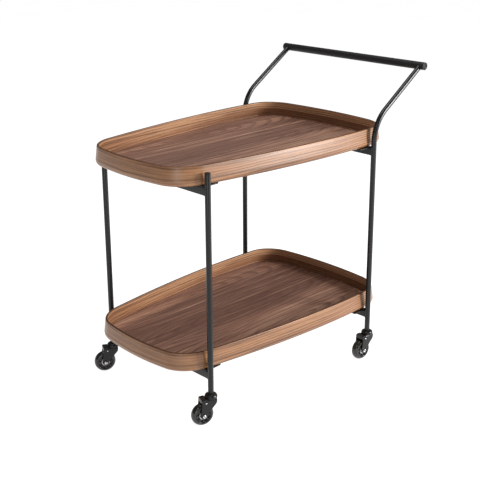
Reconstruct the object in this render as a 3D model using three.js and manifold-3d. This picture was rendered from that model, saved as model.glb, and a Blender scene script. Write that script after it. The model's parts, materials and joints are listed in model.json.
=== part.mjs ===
// Bar cart on wheels: two bowed, tapered trays held in a black tube frame on four
// swivel casters, with a raised push handle at the wide end.
// Millimetres, +Z up, +X towards the push handle, +Y to the cart's left when pushing.
// The origin is the middle of the footprint, on the floor.

import * as THREE from 'three';
import { ParametricGeometry } from 'three/addons/geometries/ParametricGeometry.js';
import { mergeVertices } from 'three/addons/utils/BufferGeometryUtils.js';
import Module from 'manifold-3d';

const wasm = await Module();
wasm.setup();

// ---------------------------------------------------------------- driving sizes

const GAP = 0.3; // standing gap between pieces that touch

// Trays
const TRAY_LENGTH = 770.6;
const TRAY_MID_WIDTH = 466.4; // at the middle of the length
const TRAY_TAPER = 0.14; // share of the width gained at the handle end and lost at the front
const SIDE_BOW = 27.7; // how far each long side swells beyond its chord
const END_BOW = 28; // the same for the two ends
const CORNER_R = 95;
const TRAY_HEIGHT = 49.5;
const TRAY_LEAN = 5.3; // how far the rim leans in over the height
const TRAY_WALL = 8;
const TRAY_FLOOR = 7;
const TRAY_FOOT_R = 3; // rounding under the wall
const LOWER_TRAY_Z = 146.3;
const UPPER_TRAY_Z = 631.5;

// Legs and handle
const LEG_TUBE_D = 15;
const LEG_TUBE_WALL = 1.5;
const LEG_CLEAR = 4.1; // tray side to tube
const FRONT_LEG_INSET = 89.7; // from the front end of the trays to the leg axis
const HANDLE_LEG_INSET = 107.9; // the same at the handle end
const FRONT_LEG_RISE = 33; // front leg above the underside of the upper tray
const HANDLE_BEND_RISE = 68.4; // from there to where the leg axis and the sloping axis would cross
const HANDLE_RISE_DEG = 33.7; // slope of the upper stretch above level
const HANDLE_BEND_R = 100;
const HANDLE_REACH_X = 198.5; // from the leg axis to the bar axis
const BAR_D = 22;
const BAR_WALL = 1.5;
const BAR_OVERHANG = 16.8; // beyond the handle leg axes at each end
const PLUG_DEPTH = 12;
const PLUG_RECESS = 1.2;
const CAP_HEAD = 1.6;

// Crossbars with their screw tabs
const CROSSBAR_H = 20;
const CROSSBAR_W = 12;
const CROSSBAR_WALL = 1.5;
const TAB_THICK = 3;
const TAB_REACH = 46; // from the crossbar axis towards the middle of the cart
const TAB_WIDTH = 34;
const TAB_INSET = 9; // from the leg axis to the tab's outer edge
const SCREW_AT = 30; // from the crossbar axis to the screw axis
const SCREW_SET_IN = 29; // from the leg axis to the screw axis, across the cart
const SCREW_D = 4;
const SCREW_HEAD_D = 8.5;
const SCREW_HEAD_H = 2.6;
const SCREW_BITE = 5; // into the tray floor

// Casters
const WHEEL_D = 60;
const TYRE_WIDTH = 23;
const TYRE_BORE_D = 38;
const HUB_WIDTH = 20;
const BEARING_D = 22;
const BEARING_W = 7;
const AXLE_D = 8;
const TRAIL = 25; // from the swivel axis back to the axle
const FORK_CLEAR = 0.9; // tyre to fork, each side
const FORK_PLATE = 2.3;
const FORK_TOP_W = 25;
const FORK_FOOT_R = 8.5;
const CROWN_D = 31;
const CROWN_THICK = 3;
const CROWN_CLEAR = 11; // wheel to crown
const HOOD_BACK = 30; // how far the rear hood reaches behind the swivel axis
const HOOD_H = 11;
const HOOD_WALL = 3; // thickness of the hood's rear wall
const HOOD_CLEAR = 1.6; // wheel to hood
const DOME_D = 33;
const DOME_H = 9.6;
const STEM_D = 10;
const STEM_LENGTH = 32;
const KINGPIN_D = 8;
const RIVET_D = 13;
const RIVET_H = 3;
const INSERT_FLANGE = 1.5;
const HEX_D = 11;
const NUT_H = 4.5;
const THREAD_OUT = 0.7; // axle showing beyond its nut

// How each caster trails at rest: direction of the axle from the swivel axis
const CASTERS = [
  { name: 'front_left', end: -1, side: 1, trailDeg: 154 },
  { name: 'front_right', end: -1, side: -1, trailDeg: 160 },
  { name: 'handle_left', end: 1, side: 1, trailDeg: 185 },
  { name: 'handle_right', end: 1, side: -1, trailDeg: 175 },
];

// Facets
const TUBE_SIDES = 16;
const WHEEL_SIDES = 24;
const SMALL_SIDES = 12;
const BEND_STEPS = 6;
const TREAD_STEPS = 6;

// ---------------------------------------------------------------- sizes worked out

/** Radius of the arc that swells by a bow over a half chord. */
const bowRadius = (halfChord, bow) => halfChord ** 2 / (2 * bow);

/** Half the width of a tray at a distance from the middle of its length, along its side arc. */
function trayHalfWidth(fromMiddle) {
  const radius = bowRadius(TRAY_HALF_LENGTH, SIDE_BOW);
  const drop = radius - Math.sqrt(radius ** 2 - fromMiddle ** 2);
  return (TRAY_HALF_WIDTH - drop) * (1 + (TRAY_TAPER * fromMiddle) / TRAY_HALF_LENGTH);
}

const LEG_R = LEG_TUBE_D / 2;
const LEG_BORE_R = LEG_R - LEG_TUBE_WALL;
const BAR_R = BAR_D / 2;
const WHEEL_R = WHEEL_D / 2;
const TRAY_HALF_LENGTH = TRAY_LENGTH / 2;
const TRAY_HALF_WIDTH = TRAY_MID_WIDTH / 2;
const LEG_SPAN_X = TRAY_LENGTH - FRONT_LEG_INSET - HANDLE_LEG_INSET;
const TRAY_CENTRE_X = (HANDLE_LEG_INSET - FRONT_LEG_INSET) / 2; // from the middle of the leg plan
const FRONT_SPREAD_Y = 2 * (trayHalfWidth(-LEG_SPAN_X / 2 - TRAY_CENTRE_X) + LEG_CLEAR + LEG_R);
const HANDLE_SPREAD_Y = 2 * (trayHalfWidth(LEG_SPAN_X / 2 - TRAY_CENTRE_X) + LEG_CLEAR + LEG_R);
const FRONT_LEG_TOP_Z = UPPER_TRAY_Z + FRONT_LEG_RISE;
const HANDLE_BEND_Z = UPPER_TRAY_Z + HANDLE_BEND_RISE;
const CROWN_Z = WHEEL_D + CROWN_CLEAR; // underside of the crown
const DOME_FOOT_Z = CROWN_Z + CROWN_THICK + GAP;
const DOME_TOP_Z = DOME_FOOT_Z + DOME_H;
const LEG_BOTTOM_Z = DOME_TOP_Z + INSERT_FLANGE + 2 * GAP;
const HANDLE_RISE = THREE.MathUtils.degToRad(HANDLE_RISE_DEG);
const BAR_X = LEG_SPAN_X / 2 + HANDLE_REACH_X;
const BAR_Z = HANDLE_BEND_Z + HANDLE_REACH_X * Math.tan(HANDLE_RISE);
const BAR_LENGTH = HANDLE_SPREAD_Y + 2 * BAR_OVERHANG;
const FORK_IN = TYRE_WIDTH / 2 + FORK_CLEAR;
const FORK_OUT = FORK_IN + FORK_PLATE;

const ENDS = [
  { name: 'front', dir: -1, x: -LEG_SPAN_X / 2, spread: FRONT_SPREAD_Y },
  { name: 'handle', dir: 1, x: LEG_SPAN_X / 2, spread: HANDLE_SPREAD_Y },
];
const SIDES = [
  { name: 'left', dir: 1 },
  { name: 'right', dir: -1 },
];
const TRAYS = [
  { name: 'lower', z: LOWER_TRAY_Z },
  { name: 'upper', z: UPPER_TRAY_Z },
];

// ---------------------------------------------------------------- materials

const finish = (color, roughness, metalness) =>
  new THREE.MeshStandardMaterial({ color, roughness, metalness });

const walnutWall = () => finish(0xa97c5c, 0.45, 0);
const walnutFloor = () => finish(0x6e5148, 0.45, 0);
const blackSteel = () => finish(0x2b2b2d, 0.4, 0.6);
const blackGrip = () => finish(0x242022, 0.6, 0.1);
const blackPlastic = () => finish(0x1c1c1e, 0.5, 0);
const brightSteel = () => finish(0xc4c4c6, 0.3, 1);
const smokedTyre = () => finish(0x33322f, 0.2, 0);
const glossHub = () => finish(0x17171a, 0.25, 0);

// ---------------------------------------------------------------- small tools

const group = new THREE.Group();

/** Adds one named piece to the cart. */
function piece(name, geometry, material, place = [0, 0, 0], turnZ = 0) {
  const mesh = new THREE.Mesh(geometry, material);
  mesh.name = name;
  mesh.position.set(...place);
  mesh.rotation.z = turnZ;
  group.add(mesh);
  return mesh;
}

/** A closed geometry as a solid that can be cut and joined. */
function solid(geometry) {
  const bare = geometry.index ? geometry.toNonIndexed() : geometry.clone();
  bare.deleteAttribute('normal');
  bare.deleteAttribute('uv');
  const merged = mergeVertices(bare, 1e-4);
  return new wasm.Manifold(new wasm.Mesh({
    numProp: 3,
    vertProperties: new Float32Array(merged.attributes.position.array),
    triVerts: new Uint32Array(merged.index.array),
  }));
}

/** A solid back as a geometry. */
function skin(manifold) {
  const mesh = manifold.getMesh();
  const geometry = new THREE.BufferGeometry();
  geometry.setAttribute('position', new THREE.BufferAttribute(new Float32Array(mesh.vertProperties), 3));
  geometry.setIndex(new THREE.BufferAttribute(new Uint32Array(mesh.triVerts), 1));
  geometry.computeVertexNormals();
  return geometry;
}

/** A turned piece about Z from [radius, z] points that run round its section anticlockwise. */
function turned(points, sides) {
  const profile = points.map(([r, z]) => new THREE.Vector2(r, z));
  return new THREE.LatheGeometry(profile, sides).rotateX(Math.PI / 2);
}

/** A cylinder along Z from z0 to z1. */
function rod(radius, z0, z1, sides = SMALL_SIDES) {
  return new THREE.CylinderGeometry(radius, radius, z1 - z0, sides)
    .rotateX(Math.PI / 2)
    .translate(0, 0, (z0 + z1) / 2);
}

/** A washer or straight tube along Z. */
function ring(outerR, innerR, z0, z1, sides) {
  return turned([[innerR, z0], [outerR, z0], [outerR, z1], [innerR, z1], [innerR, z0]], sides);
}

/** A box between two corners. */
function block([x0, y0, z0], [x1, y1, z1]) {
  return new THREE.BoxGeometry(x1 - x0, y1 - y0, z1 - z0)
    .translate((x0 + x1) / 2, (y0 + y1) / 2, (z0 + z1) / 2);
}

/** A surface closed both ways from rings of points: point(i, j) with i round the section. */
function closedGrid(rings, around, point) {
  const place = (u, v, target) => {
    const i = Math.round(u * rings) % rings;
    const j = Math.round(v * around) % around;
    target.copy(point(i, j));
  };
  return new ParametricGeometry(place, rings, around);
}

/** Half of a tray's plan, one quarter at a time: arcs for the side, the corner and the end. */
function quarterPlan(inset) {
  const a = TRAY_HALF_LENGTH - inset;
  const b = TRAY_HALF_WIDTH - inset;
  const sideR = bowRadius(TRAY_HALF_LENGTH, SIDE_BOW) - inset;
  const endR = bowRadius(TRAY_HALF_WIDTH, END_BOW) - inset;
  const r = CORNER_R - inset;
  const sideCentre = new THREE.Vector2(0, b - sideR);
  const endCentre = new THREE.Vector2(a - endR, 0);
  const between = endCentre.clone().sub(sideCentre);
  const distance = between.length();
  const along = ((sideR - r) ** 2 - (endR - r) ** 2 + distance ** 2) / (2 * distance);
  const across = Math.sqrt((sideR - r) ** 2 - along ** 2);
  const unit = between.divideScalar(distance);
  const corner = sideCentre.clone()
    .addScaledVector(unit, along)
    .addScaledVector(new THREE.Vector2(unit.y, -unit.x), across);
  const sideEnd = corner.clone().sub(sideCentre).angle();
  const endStart = corner.clone().sub(endCentre).angle();
  const arc = (centre, radius, from, to, steps) =>
    Array.from({ length: steps }, (_, k) => {
      const angle = from + ((to - from) * k) / steps;
      return new THREE.Vector2(centre.x + radius * Math.cos(angle), centre.y + radius * Math.sin(angle));
    });
  return [
    ...arc(sideCentre, sideR, Math.PI / 2, sideEnd, 3),
    ...arc(corner, r, sideEnd, endStart, 6),
    ...arc(endCentre, endR, endStart, 0, 3),
    new THREE.Vector2(a, 0),
  ];
}

/** The whole tray plan, anticlockwise, drawn in from the outer face by an inset. */
function trayPlan(inset) {
  const quarter = quarterPlan(inset);
  const flip = (sx, sy) => quarter.map((p) => new THREE.Vector2(p.x * sx, p.y * sy));
  const clockwise = [
    ...flip(1, 1).slice(0, -1),
    ...flip(1, -1).reverse().slice(0, -1),
    ...flip(-1, -1).slice(0, -1),
    ...flip(-1, 1).reverse().slice(0, -1),
  ];
  return clockwise.reverse().map((p) => new THREE.Vector2(
    p.x + TRAY_CENTRE_X,
    p.y * (1 + (TRAY_TAPER * p.x) / TRAY_HALF_LENGTH),
  ));
}

/** How far the tray wall has leaned in at a height above its foot. */
const lean = (z) => (TRAY_LEAN * z) / TRAY_HEIGHT;

// ---------------------------------------------------------------- trays

/** The bent wall that runs round a tray. */
function trayWall() {
  const foot = TRAY_FOOT_R;
  const crown = TRAY_WALL / 2;
  const section = [
    [TRAY_WALL, 0],
    [lean(TRAY_HEIGHT - crown) + TRAY_WALL, TRAY_HEIGHT - crown],
    [TRAY_LEAN + crown * 1.7, TRAY_HEIGHT - crown * 0.3],
    [TRAY_LEAN + crown, TRAY_HEIGHT],
    [TRAY_LEAN + crown * 0.3, TRAY_HEIGHT - crown * 0.3],
    [lean(TRAY_HEIGHT - crown), TRAY_HEIGHT - crown],
    [lean(foot), foot],
    [foot * 0.3, foot * 0.3],
    [foot, 0],
  ];
  const plans = section.map(([inset]) => trayPlan(inset));
  const point = (i, j) => new THREE.Vector3(plans[i][j].x, plans[i][j].y, section[i][1]);
  return closedGrid(section.length, plans[0].length, point);
}

/** Screw axes under a tray. */
function screwPlaces() {
  return ENDS.flatMap((end) => SIDES.map((side) => ({
    name: `${end.name}_${side.name}`,
    x: end.x - end.dir * SCREW_AT,
    y: side.dir * (end.spread / 2 - SCREW_SET_IN),
  })));
}

/** The floor panel, with blind pilot holes for its four screws. */
function trayFloor() {
  const outline = trayPlan(TRAY_WALL + lean(TRAY_FLOOR) + GAP);
  const panel = new THREE.ExtrudeGeometry(new THREE.Shape(outline), {
    depth: TRAY_FLOOR,
    bevelEnabled: false,
    curveSegments: 1,
  });
  const pilot = solid(rod(SCREW_D / 2 + GAP, -1, SCREW_BITE + GAP, SMALL_SIDES));
  const drilled = screwPlaces().reduce(
    (body, { x, y }) => body.subtract(pilot.translate([x, y, 0])),
    solid(panel),
  );
  return skin(drilled);
}

for (const tray of TRAYS) {
  piece(`${tray.name}_tray_wall`, trayWall(), walnutWall(), [0, 0, tray.z]);
  piece(`${tray.name}_tray_floor`, trayFloor(), walnutFloor(), [0, 0, tray.z]);
}

// ---------------------------------------------------------------- crossbars and screws

/** A crossbar between a pair of legs, with a screw tab on top at each end. Its top is z = 0. */
function crossbar(end) {
  const reach = end.spread / 2;
  const half = CROSSBAR_W / 2;
  const top = -TAB_THICK - GAP;
  const inner = half - CROSSBAR_WALL;
  const outside = solid(block([-half, -reach, top - CROSSBAR_H], [half, reach, top]));
  const hollow = solid(block(
    [-inner, -reach - 1, top - CROSSBAR_H + CROSSBAR_WALL],
    [inner, reach + 1, top - CROSSBAR_WALL],
  ));
  const notch = solid(rod(LEG_R + GAP, top - CROSSBAR_H - 1, 1, TUBE_SIDES * 2));
  const hole = solid(rod(SCREW_D / 2 + GAP, top - 1, 1));
  let body = outside;
  for (const side of SIDES) {
    const outer = side.dir * (reach - TAB_INSET);
    const innerEdge = side.dir * (reach - TAB_INSET - TAB_WIDTH);
    const tab = solid(block(
      [Math.min(end.dir * half, -end.dir * TAB_REACH), Math.min(outer, innerEdge), top - GAP],
      [Math.max(end.dir * half, -end.dir * TAB_REACH), Math.max(outer, innerEdge), -GAP],
    ));
    body = body.add(tab);
  }
  body = body.subtract(hollow);
  for (const side of SIDES) {
    body = body.subtract(notch.translate([0, side.dir * reach, 0]));
    body = body.subtract(hole.translate([
      -end.dir * SCREW_AT,
      side.dir * (reach - SCREW_SET_IN),
      0,
    ]));
  }
  return skin(body);
}

/** A pan-head screw that points up; z = 0 is the underside of the tray. */
function screw() {
  const seat = -TAB_THICK - GAP - 2 * GAP;
  const headR = SCREW_HEAD_D / 2;
  return turned([
    [0, seat - SCREW_HEAD_H],
    [headR * 0.6, seat - SCREW_HEAD_H],
    [headR, seat - SCREW_HEAD_H * 0.4],
    [headR, seat],
    [SCREW_D / 2, seat],
    [SCREW_D / 2, SCREW_BITE - 1],
    [0, SCREW_BITE],
  ], SMALL_SIDES);
}

for (const tray of TRAYS) {
  for (const end of ENDS) {
    piece(`${tray.name}_${end.name}_crossbar`, crossbar(end), blackSteel(), [end.x, 0, tray.z]);
  }
  for (const spot of screwPlaces()) {
    piece(`${tray.name}_screw_${spot.name}`, screw(), brightSteel(), [spot.x, spot.y, tray.z]);
  }
}

// ---------------------------------------------------------------- legs and handle

/** A hollow pipe in the XZ plane through stations of {x, z, angle}, angle from level. */
function pipe(stations, outerR, innerR, sides) {
  const last = stations.length - 1;
  const point = (i, j) => {
    const outside = i <= last;
    const { x, z, angle } = stations[outside ? i : 2 * last + 1 - i];
    const radius = outside ? outerR : innerR;
    const turn = (2 * Math.PI * j) / sides;
    const across = radius * Math.cos(turn);
    return new THREE.Vector3(
      x - across * Math.sin(angle),
      radius * Math.sin(turn),
      z + across * Math.cos(angle),
    );
  };
  return closedGrid(2 * stations.length, sides, point);
}

/** A handle leg: straight up, round one bend, then sloping out to the bar. */
function handleLeg() {
  const turn = Math.PI / 2 - HANDLE_RISE;
  const tangent = HANDLE_BEND_R * Math.tan(turn / 2);
  const bendZ = HANDLE_BEND_Z - tangent;
  const bend = Array.from({ length: BEND_STEPS + 1 }, (_, k) => {
    const swept = (turn * k) / BEND_STEPS;
    return {
      x: HANDLE_BEND_R * (1 - Math.cos(swept)),
      z: bendZ + HANDLE_BEND_R * Math.sin(swept),
      angle: Math.PI / 2 - swept,
    };
  });
  const tip = { x: HANDLE_REACH_X, z: BAR_Z, angle: HANDLE_RISE };
  const stations = [{ x: 0, z: LEG_BOTTOM_Z, angle: Math.PI / 2 }, ...bend, tip];
  const tube = solid(pipe(stations, LEG_R, LEG_BORE_R, TUBE_SIDES));
  const bar = solid(rod(BAR_R + GAP, -2 * BAR_R, 2 * BAR_R, TUBE_SIDES * 2).rotateX(Math.PI / 2));
  return skin(tube.subtract(bar.translate([HANDLE_REACH_X, 0, BAR_Z])));
}

/** A straight front leg. */
function frontLeg() {
  return ring(LEG_R, LEG_BORE_R, LEG_BOTTOM_Z, FRONT_LEG_TOP_Z, TUBE_SIDES);
}

/** The plug that closes the top of a front leg; z = 0 is the tube's end. */
function legCap() {
  const neck = LEG_BORE_R - GAP;
  return turned([
    [0, -PLUG_DEPTH],
    [neck - 0.6, -PLUG_DEPTH],
    [neck, -PLUG_DEPTH + 1],
    [neck, GAP],
    [LEG_R, GAP],
    [LEG_R, CAP_HEAD * 0.6],
    [LEG_R - 0.8, CAP_HEAD],
    [0, CAP_HEAD],
  ], TUBE_SIDES);
}

/** The plug in an end of the bar, with its dished face at z = 0. */
function barPlug() {
  const r = BAR_R - BAR_WALL - GAP;
  return turned([
    [0, -PLUG_DEPTH],
    [r - 0.8, -PLUG_DEPTH],
    [r, -PLUG_DEPTH + 1],
    [r, 0],
    [r - 1.6, 0],
    [r - 2.2, -PLUG_RECESS],
    [0, -PLUG_RECESS],
  ], TUBE_SIDES);
}

for (const side of SIDES) {
  const y = side.dir;
  piece(`front_leg_${side.name}`, frontLeg(), blackSteel(), [ENDS[0].x, y * FRONT_SPREAD_Y / 2, 0]);
  piece(`leg_cap_${side.name}`, legCap(), blackPlastic(), [ENDS[0].x, y * FRONT_SPREAD_Y / 2, FRONT_LEG_TOP_Z]);
  piece(`handle_leg_${side.name}`, handleLeg(), blackSteel(), [ENDS[1].x, y * HANDLE_SPREAD_Y / 2, 0]);
  const plug = barPlug().rotateX(-y * Math.PI / 2);
  piece(`handle_plug_${side.name}`, plug, blackPlastic(), [BAR_X, y * (BAR_LENGTH / 2 - GAP), BAR_Z]);
}

const barTube = ring(BAR_R, BAR_R - BAR_WALL, -BAR_LENGTH / 2, BAR_LENGTH / 2, TUBE_SIDES + 8);
piece('handle_bar', barTube.rotateX(Math.PI / 2), blackGrip(), [BAR_X, 0, BAR_Z]);

// ---------------------------------------------------------------- casters

/** The plastic sleeve that holds the stem in a leg; z = 0 is the leg's lower end. */
function legInsert() {
  const outer = LEG_BORE_R - GAP;
  const bore = STEM_D / 2 + GAP / 2;
  return turned([
    [bore, -INSERT_FLANGE - GAP],
    [LEG_R, -INSERT_FLANGE - GAP],
    [LEG_R, -GAP],
    [outer, -GAP],
    [outer, STEM_LENGTH - 4],
    [bore, STEM_LENGTH - 4],
    [bore, -INSERT_FLANGE - GAP],
  ], TUBE_SIDES);
}

/** The stem, its domed bearing cover and the kingpin with its rivet head, as one turned piece. */
function casterStem() {
  const domeR = DOME_D / 2;
  const pinR = KINGPIN_D / 2;
  const rivetTop = CROWN_Z - GAP;
  return turned([
    [0, rivetTop - RIVET_H],
    [RIVET_D * 0.35, rivetTop - RIVET_H],
    [RIVET_D / 2, rivetTop - RIVET_H * 0.4],
    [RIVET_D / 2, rivetTop],
    [pinR, rivetTop],
    [pinR, DOME_FOOT_Z],
    [domeR, DOME_FOOT_Z],
    [domeR, DOME_FOOT_Z + 2.5],
    [domeR - 1.6, DOME_TOP_Z - 3.2],
    [domeR - 5, DOME_TOP_Z - 0.9],
    [LEG_R, DOME_TOP_Z],
    [STEM_D / 2, DOME_TOP_Z],
    [STEM_D / 2, LEG_BOTTOM_Z + STEM_LENGTH - 1.5],
    [STEM_D / 2 - 1.2, LEG_BOTTOM_Z + STEM_LENGTH],
    [0, LEG_BOTTOM_Z + STEM_LENGTH],
  ], TUBE_SIDES);
}

/** One side plate of the fork, from the crown down to a rounded foot round the axle. */
function forkPlate() {
  const axle = { x: TRAIL, z: WHEEL_R };
  const top = CROWN_Z + CROWN_THICK;
  const shape = new THREE.Shape();
  shape.moveTo(-FORK_TOP_W / 2 + 1, top);
  shape.lineTo(-FORK_TOP_W / 2 + 1, top - 12);
  shape.lineTo(axle.x - FORK_FOOT_R, axle.z);
  shape.absarc(axle.x, axle.z, FORK_FOOT_R, Math.PI, 2 * Math.PI, false);
  shape.lineTo(HOOD_BACK, top - HOOD_H);
  shape.lineTo(HOOD_BACK, top);
  const plate = new THREE.ExtrudeGeometry(shape, {
    depth: FORK_PLATE,
    bevelEnabled: false,
    curveSegments: 8,
  });
  return plate.rotateX(Math.PI / 2);
}

/** The fork: a crown plate, two side plates and a hood behind the crown, over the wheel. */
function fork() {
  const top = CROWN_Z + CROWN_THICK;
  const plate = solid(forkPlate());
  const crown = solid(rod(CROWN_D / 2, CROWN_Z, top, 24));
  const web = solid(block([-FORK_TOP_W / 2 + 1, -FORK_OUT, CROWN_Z], [HOOD_BACK, FORK_OUT, top]));
  const hood = solid(block([HOOD_BACK - HOOD_WALL, -FORK_OUT, top - HOOD_H], [HOOD_BACK, FORK_OUT, top]));
  const sweep = solid(rod(WHEEL_R + HOOD_CLEAR, -FORK_IN, FORK_IN, 32).rotateX(Math.PI / 2));
  const axleHole = solid(rod(AXLE_D / 2 + GAP, -FORK_OUT - 1, FORK_OUT + 1).rotateX(Math.PI / 2));
  const pinHole = solid(rod(KINGPIN_D / 2 + GAP, CROWN_Z - 1, top + 1));
  return skin(crown
    .add(web)
    .add(hood)
    .add(plate.translate([0, FORK_OUT, 0]))
    .add(plate.translate([0, -FORK_IN, 0]))
    .subtract(sweep.translate([TRAIL, 0, WHEEL_R]))
    .subtract(axleHole.translate([TRAIL, 0, WHEEL_R]))
    .subtract(pinHole));
}

/** A turned wheel piece, its axis laid along Y with a facet corner at the bottom. */
const wheelPiece = (points, sides) => turned(points, sides).rotateX(Math.PI / 2);

/** The skate-style tyre with its rounded tread. */
function tyre() {
  const half = TYRE_WIDTH / 2;
  const bore = TYRE_BORE_D / 2;
  const tread = Array.from({ length: TREAD_STEPS + 1 }, (_, k) => {
    const angle = -Math.PI / 2 + (Math.PI * k) / TREAD_STEPS;
    return [WHEEL_R - half * (1 - Math.cos(angle)) * 0.85, half * Math.sin(angle)];
  });
  return wheelPiece([[bore, -half + 1.5], ...tread, [bore, half - 1.5], [bore, -half + 1.5]], WHEEL_SIDES);
}

/** The wheel's core, with a bearing seat in each face. */
function hub() {
  const half = HUB_WIDTH / 2;
  const rim = TYRE_BORE_D / 2 - GAP;
  const seat = BEARING_D / 2 + GAP;
  const shoulder = half - BEARING_W - GAP;
  const web = BEARING_D / 2 - 3;
  return wheelPiece([
    [web, -shoulder],
    [seat, -shoulder],
    [seat, -half],
    [rim, -half],
    [rim, half],
    [seat, half],
    [seat, shoulder],
    [web, shoulder],
    [web, -shoulder],
  ], WHEEL_SIDES);
}

/** One ball bearing, seen as its two races and shield in one ring. */
function bearing(side) {
  const outer = HUB_WIDTH / 2;
  const z = side > 0 ? [outer - BEARING_W, outer] : [-outer, -outer + BEARING_W];
  return ring(BEARING_D / 2, AXLE_D / 2 + GAP, z[0], z[1], 20).rotateX(Math.PI / 2);
}

/** The axle bolt with its head on one side of the fork and its lock nut on the other. */
function axleBolt() {
  const seat = FORK_OUT + GAP;
  const tip = seat + NUT_H + THREAD_OUT;
  const shank = solid(rod(AXLE_D / 2, -seat - 0.5, tip));
  const head = solid(rod(HEX_D / 2, -tip, -seat, 6));
  const nut = solid(rod(HEX_D / 2, seat, seat + NUT_H, 6));
  return skin(shank.add(head).add(nut)).rotateX(Math.PI / 2);
}

for (const caster of CASTERS) {
  const end = ENDS[caster.end < 0 ? 0 : 1];
  const x = end.x;
  const y = caster.side * end.spread / 2;
  const trail = THREE.MathUtils.degToRad(caster.trailDeg);
  const axle = [x + TRAIL * Math.cos(trail), y + TRAIL * Math.sin(trail), WHEEL_R];
  piece(`leg_insert_${caster.name}`, legInsert(), blackPlastic(), [x, y, LEG_BOTTOM_Z]);
  piece(`caster_stem_${caster.name}`, casterStem(), blackSteel(), [x, y, 0]);
  piece(`fork_${caster.name}`, fork(), blackSteel(), [x, y, 0], trail);
  piece(`axle_bolt_${caster.name}`, axleBolt(), brightSteel(), axle, trail);
  piece(`tyre_${caster.name}`, tyre(), smokedTyre(), axle, trail);
  piece(`hub_${caster.name}`, hub(), glossHub(), axle, trail);
  piece(`bearing_outer_${caster.name}`, bearing(1), brightSteel(), axle, trail);
  piece(`bearing_inner_${caster.name}`, bearing(-1), brightSteel(), axle, trail);
}

// ---------------------------------------------------------------- origin

group.updateMatrixWorld(true);
const bounds = new THREE.Box3().setFromObject(group, true);
group.position.x = -(bounds.min.x + bounds.max.x) / 2;
group.position.y = -(bounds.min.y + bounds.max.y) / 2;
group.position.z = -bounds.min.z;

export default group;
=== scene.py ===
"""Bar cart on wheels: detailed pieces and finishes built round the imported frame."""

from __future__ import annotations

import json
import logging
import math
from dataclasses import dataclass, field
from enum import Enum
from typing import Any, Callable, Sequence

import bmesh
import bpy
import numpy as np
from mathutils import Matrix, Vector


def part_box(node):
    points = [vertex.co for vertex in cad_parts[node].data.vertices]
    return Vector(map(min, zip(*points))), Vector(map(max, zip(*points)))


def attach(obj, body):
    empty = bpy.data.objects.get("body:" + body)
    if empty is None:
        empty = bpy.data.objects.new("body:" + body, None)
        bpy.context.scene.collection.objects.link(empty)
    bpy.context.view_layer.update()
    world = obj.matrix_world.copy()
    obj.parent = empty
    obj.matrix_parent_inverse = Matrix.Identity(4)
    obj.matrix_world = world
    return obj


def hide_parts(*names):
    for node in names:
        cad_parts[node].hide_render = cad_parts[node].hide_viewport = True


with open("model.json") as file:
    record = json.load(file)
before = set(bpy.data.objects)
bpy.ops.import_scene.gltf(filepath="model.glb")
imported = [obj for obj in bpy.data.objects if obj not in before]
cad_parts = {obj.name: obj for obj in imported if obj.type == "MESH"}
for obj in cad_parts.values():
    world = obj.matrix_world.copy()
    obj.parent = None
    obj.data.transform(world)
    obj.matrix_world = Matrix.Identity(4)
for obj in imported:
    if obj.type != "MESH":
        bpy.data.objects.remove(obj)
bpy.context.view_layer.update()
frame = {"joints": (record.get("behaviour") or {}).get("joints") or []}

logging.basicConfig(level=logging.INFO, format="%(message)s")
LOG = logging.getLogger("cart")

Array = np.ndarray
Point = tuple[float, float, float]
Colour = tuple[float, float, float, float]
TAU = 2 * math.pi
SIDES = ("left", "right")
TRAYS = ("upper", "lower")


# ------------------------------------------------------------------ shape tools


def spread(start: float, end: float, count: int) -> Array:
    """Evenly spaced numbers from start to end, both included."""
    return np.linspace(start, end, count)


def soften(points: Sequence[Sequence[float]], cuts: Sequence[float], steps: int = 6) -> Array:
    """Rounds the corners of a closed outline in a plane.

    Each corner C is replaced by the quadratic curve
    B(t) = (1 - t)^2 A + 2 t (1 - t) C + t^2 D, where A and D lie `cut` away from C on its two sides.

    Args:
        points: the corners, in order.
        cuts: how far each corner's curve reaches along its sides; 0 keeps it sharp.
        steps: points per rounded corner.

    Returns:
        The outline, (corners * steps, 2), not repeated at its end.
    """
    corner = np.asarray(points, float)
    before = np.roll(corner, 1, axis=0) - corner
    after = np.roll(corner, -1, axis=0) - corner
    size_before = np.linalg.norm(before, axis=1, keepdims=True)
    size_after = np.linalg.norm(after, axis=1, keepdims=True)
    cut = np.asarray(cuts, float)[:, None]
    start = corner + before / size_before * np.minimum(cut, 0.49 * size_before)
    end = corner + after / size_after * np.minimum(cut, 0.49 * size_after)
    t = spread(0, 1, steps)[None, :, None]
    curve = (1 - t) ** 2 * start[:, None] + 2 * t * (1 - t) * corner[:, None] + t**2 * end[:, None]
    return curve.reshape(-1, 2)


def closed(points: Array) -> Array:
    """The points with the first repeated at the end."""
    return np.concatenate([points, points[:1]])


def circle(radius: float, count: int) -> Array:
    """A closed circle (r cos a, r sin a), its first point repeated at the end."""
    angle = spread(0, TAU, count + 1)
    return radius * np.stack([np.cos(angle), np.sin(angle)], axis=1)


def turned(profile: Array, sides: int) -> Array:
    """A profile of (radius, height) turned about Z: (r cos a, r sin a, z).

    Args:
        profile: the (radius, height) points.
        sides: faces round the axis.

    Returns:
        Points on a grid, (profile, sides + 1, 3).
    """
    angle = spread(0, TAU, sides + 1)
    radius, height = profile[:, :1], profile[:, 1:]
    level = np.broadcast_to(height, (len(profile), len(angle)))
    return np.stack([radius * np.cos(angle), radius * np.sin(angle), level], axis=2)


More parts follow.
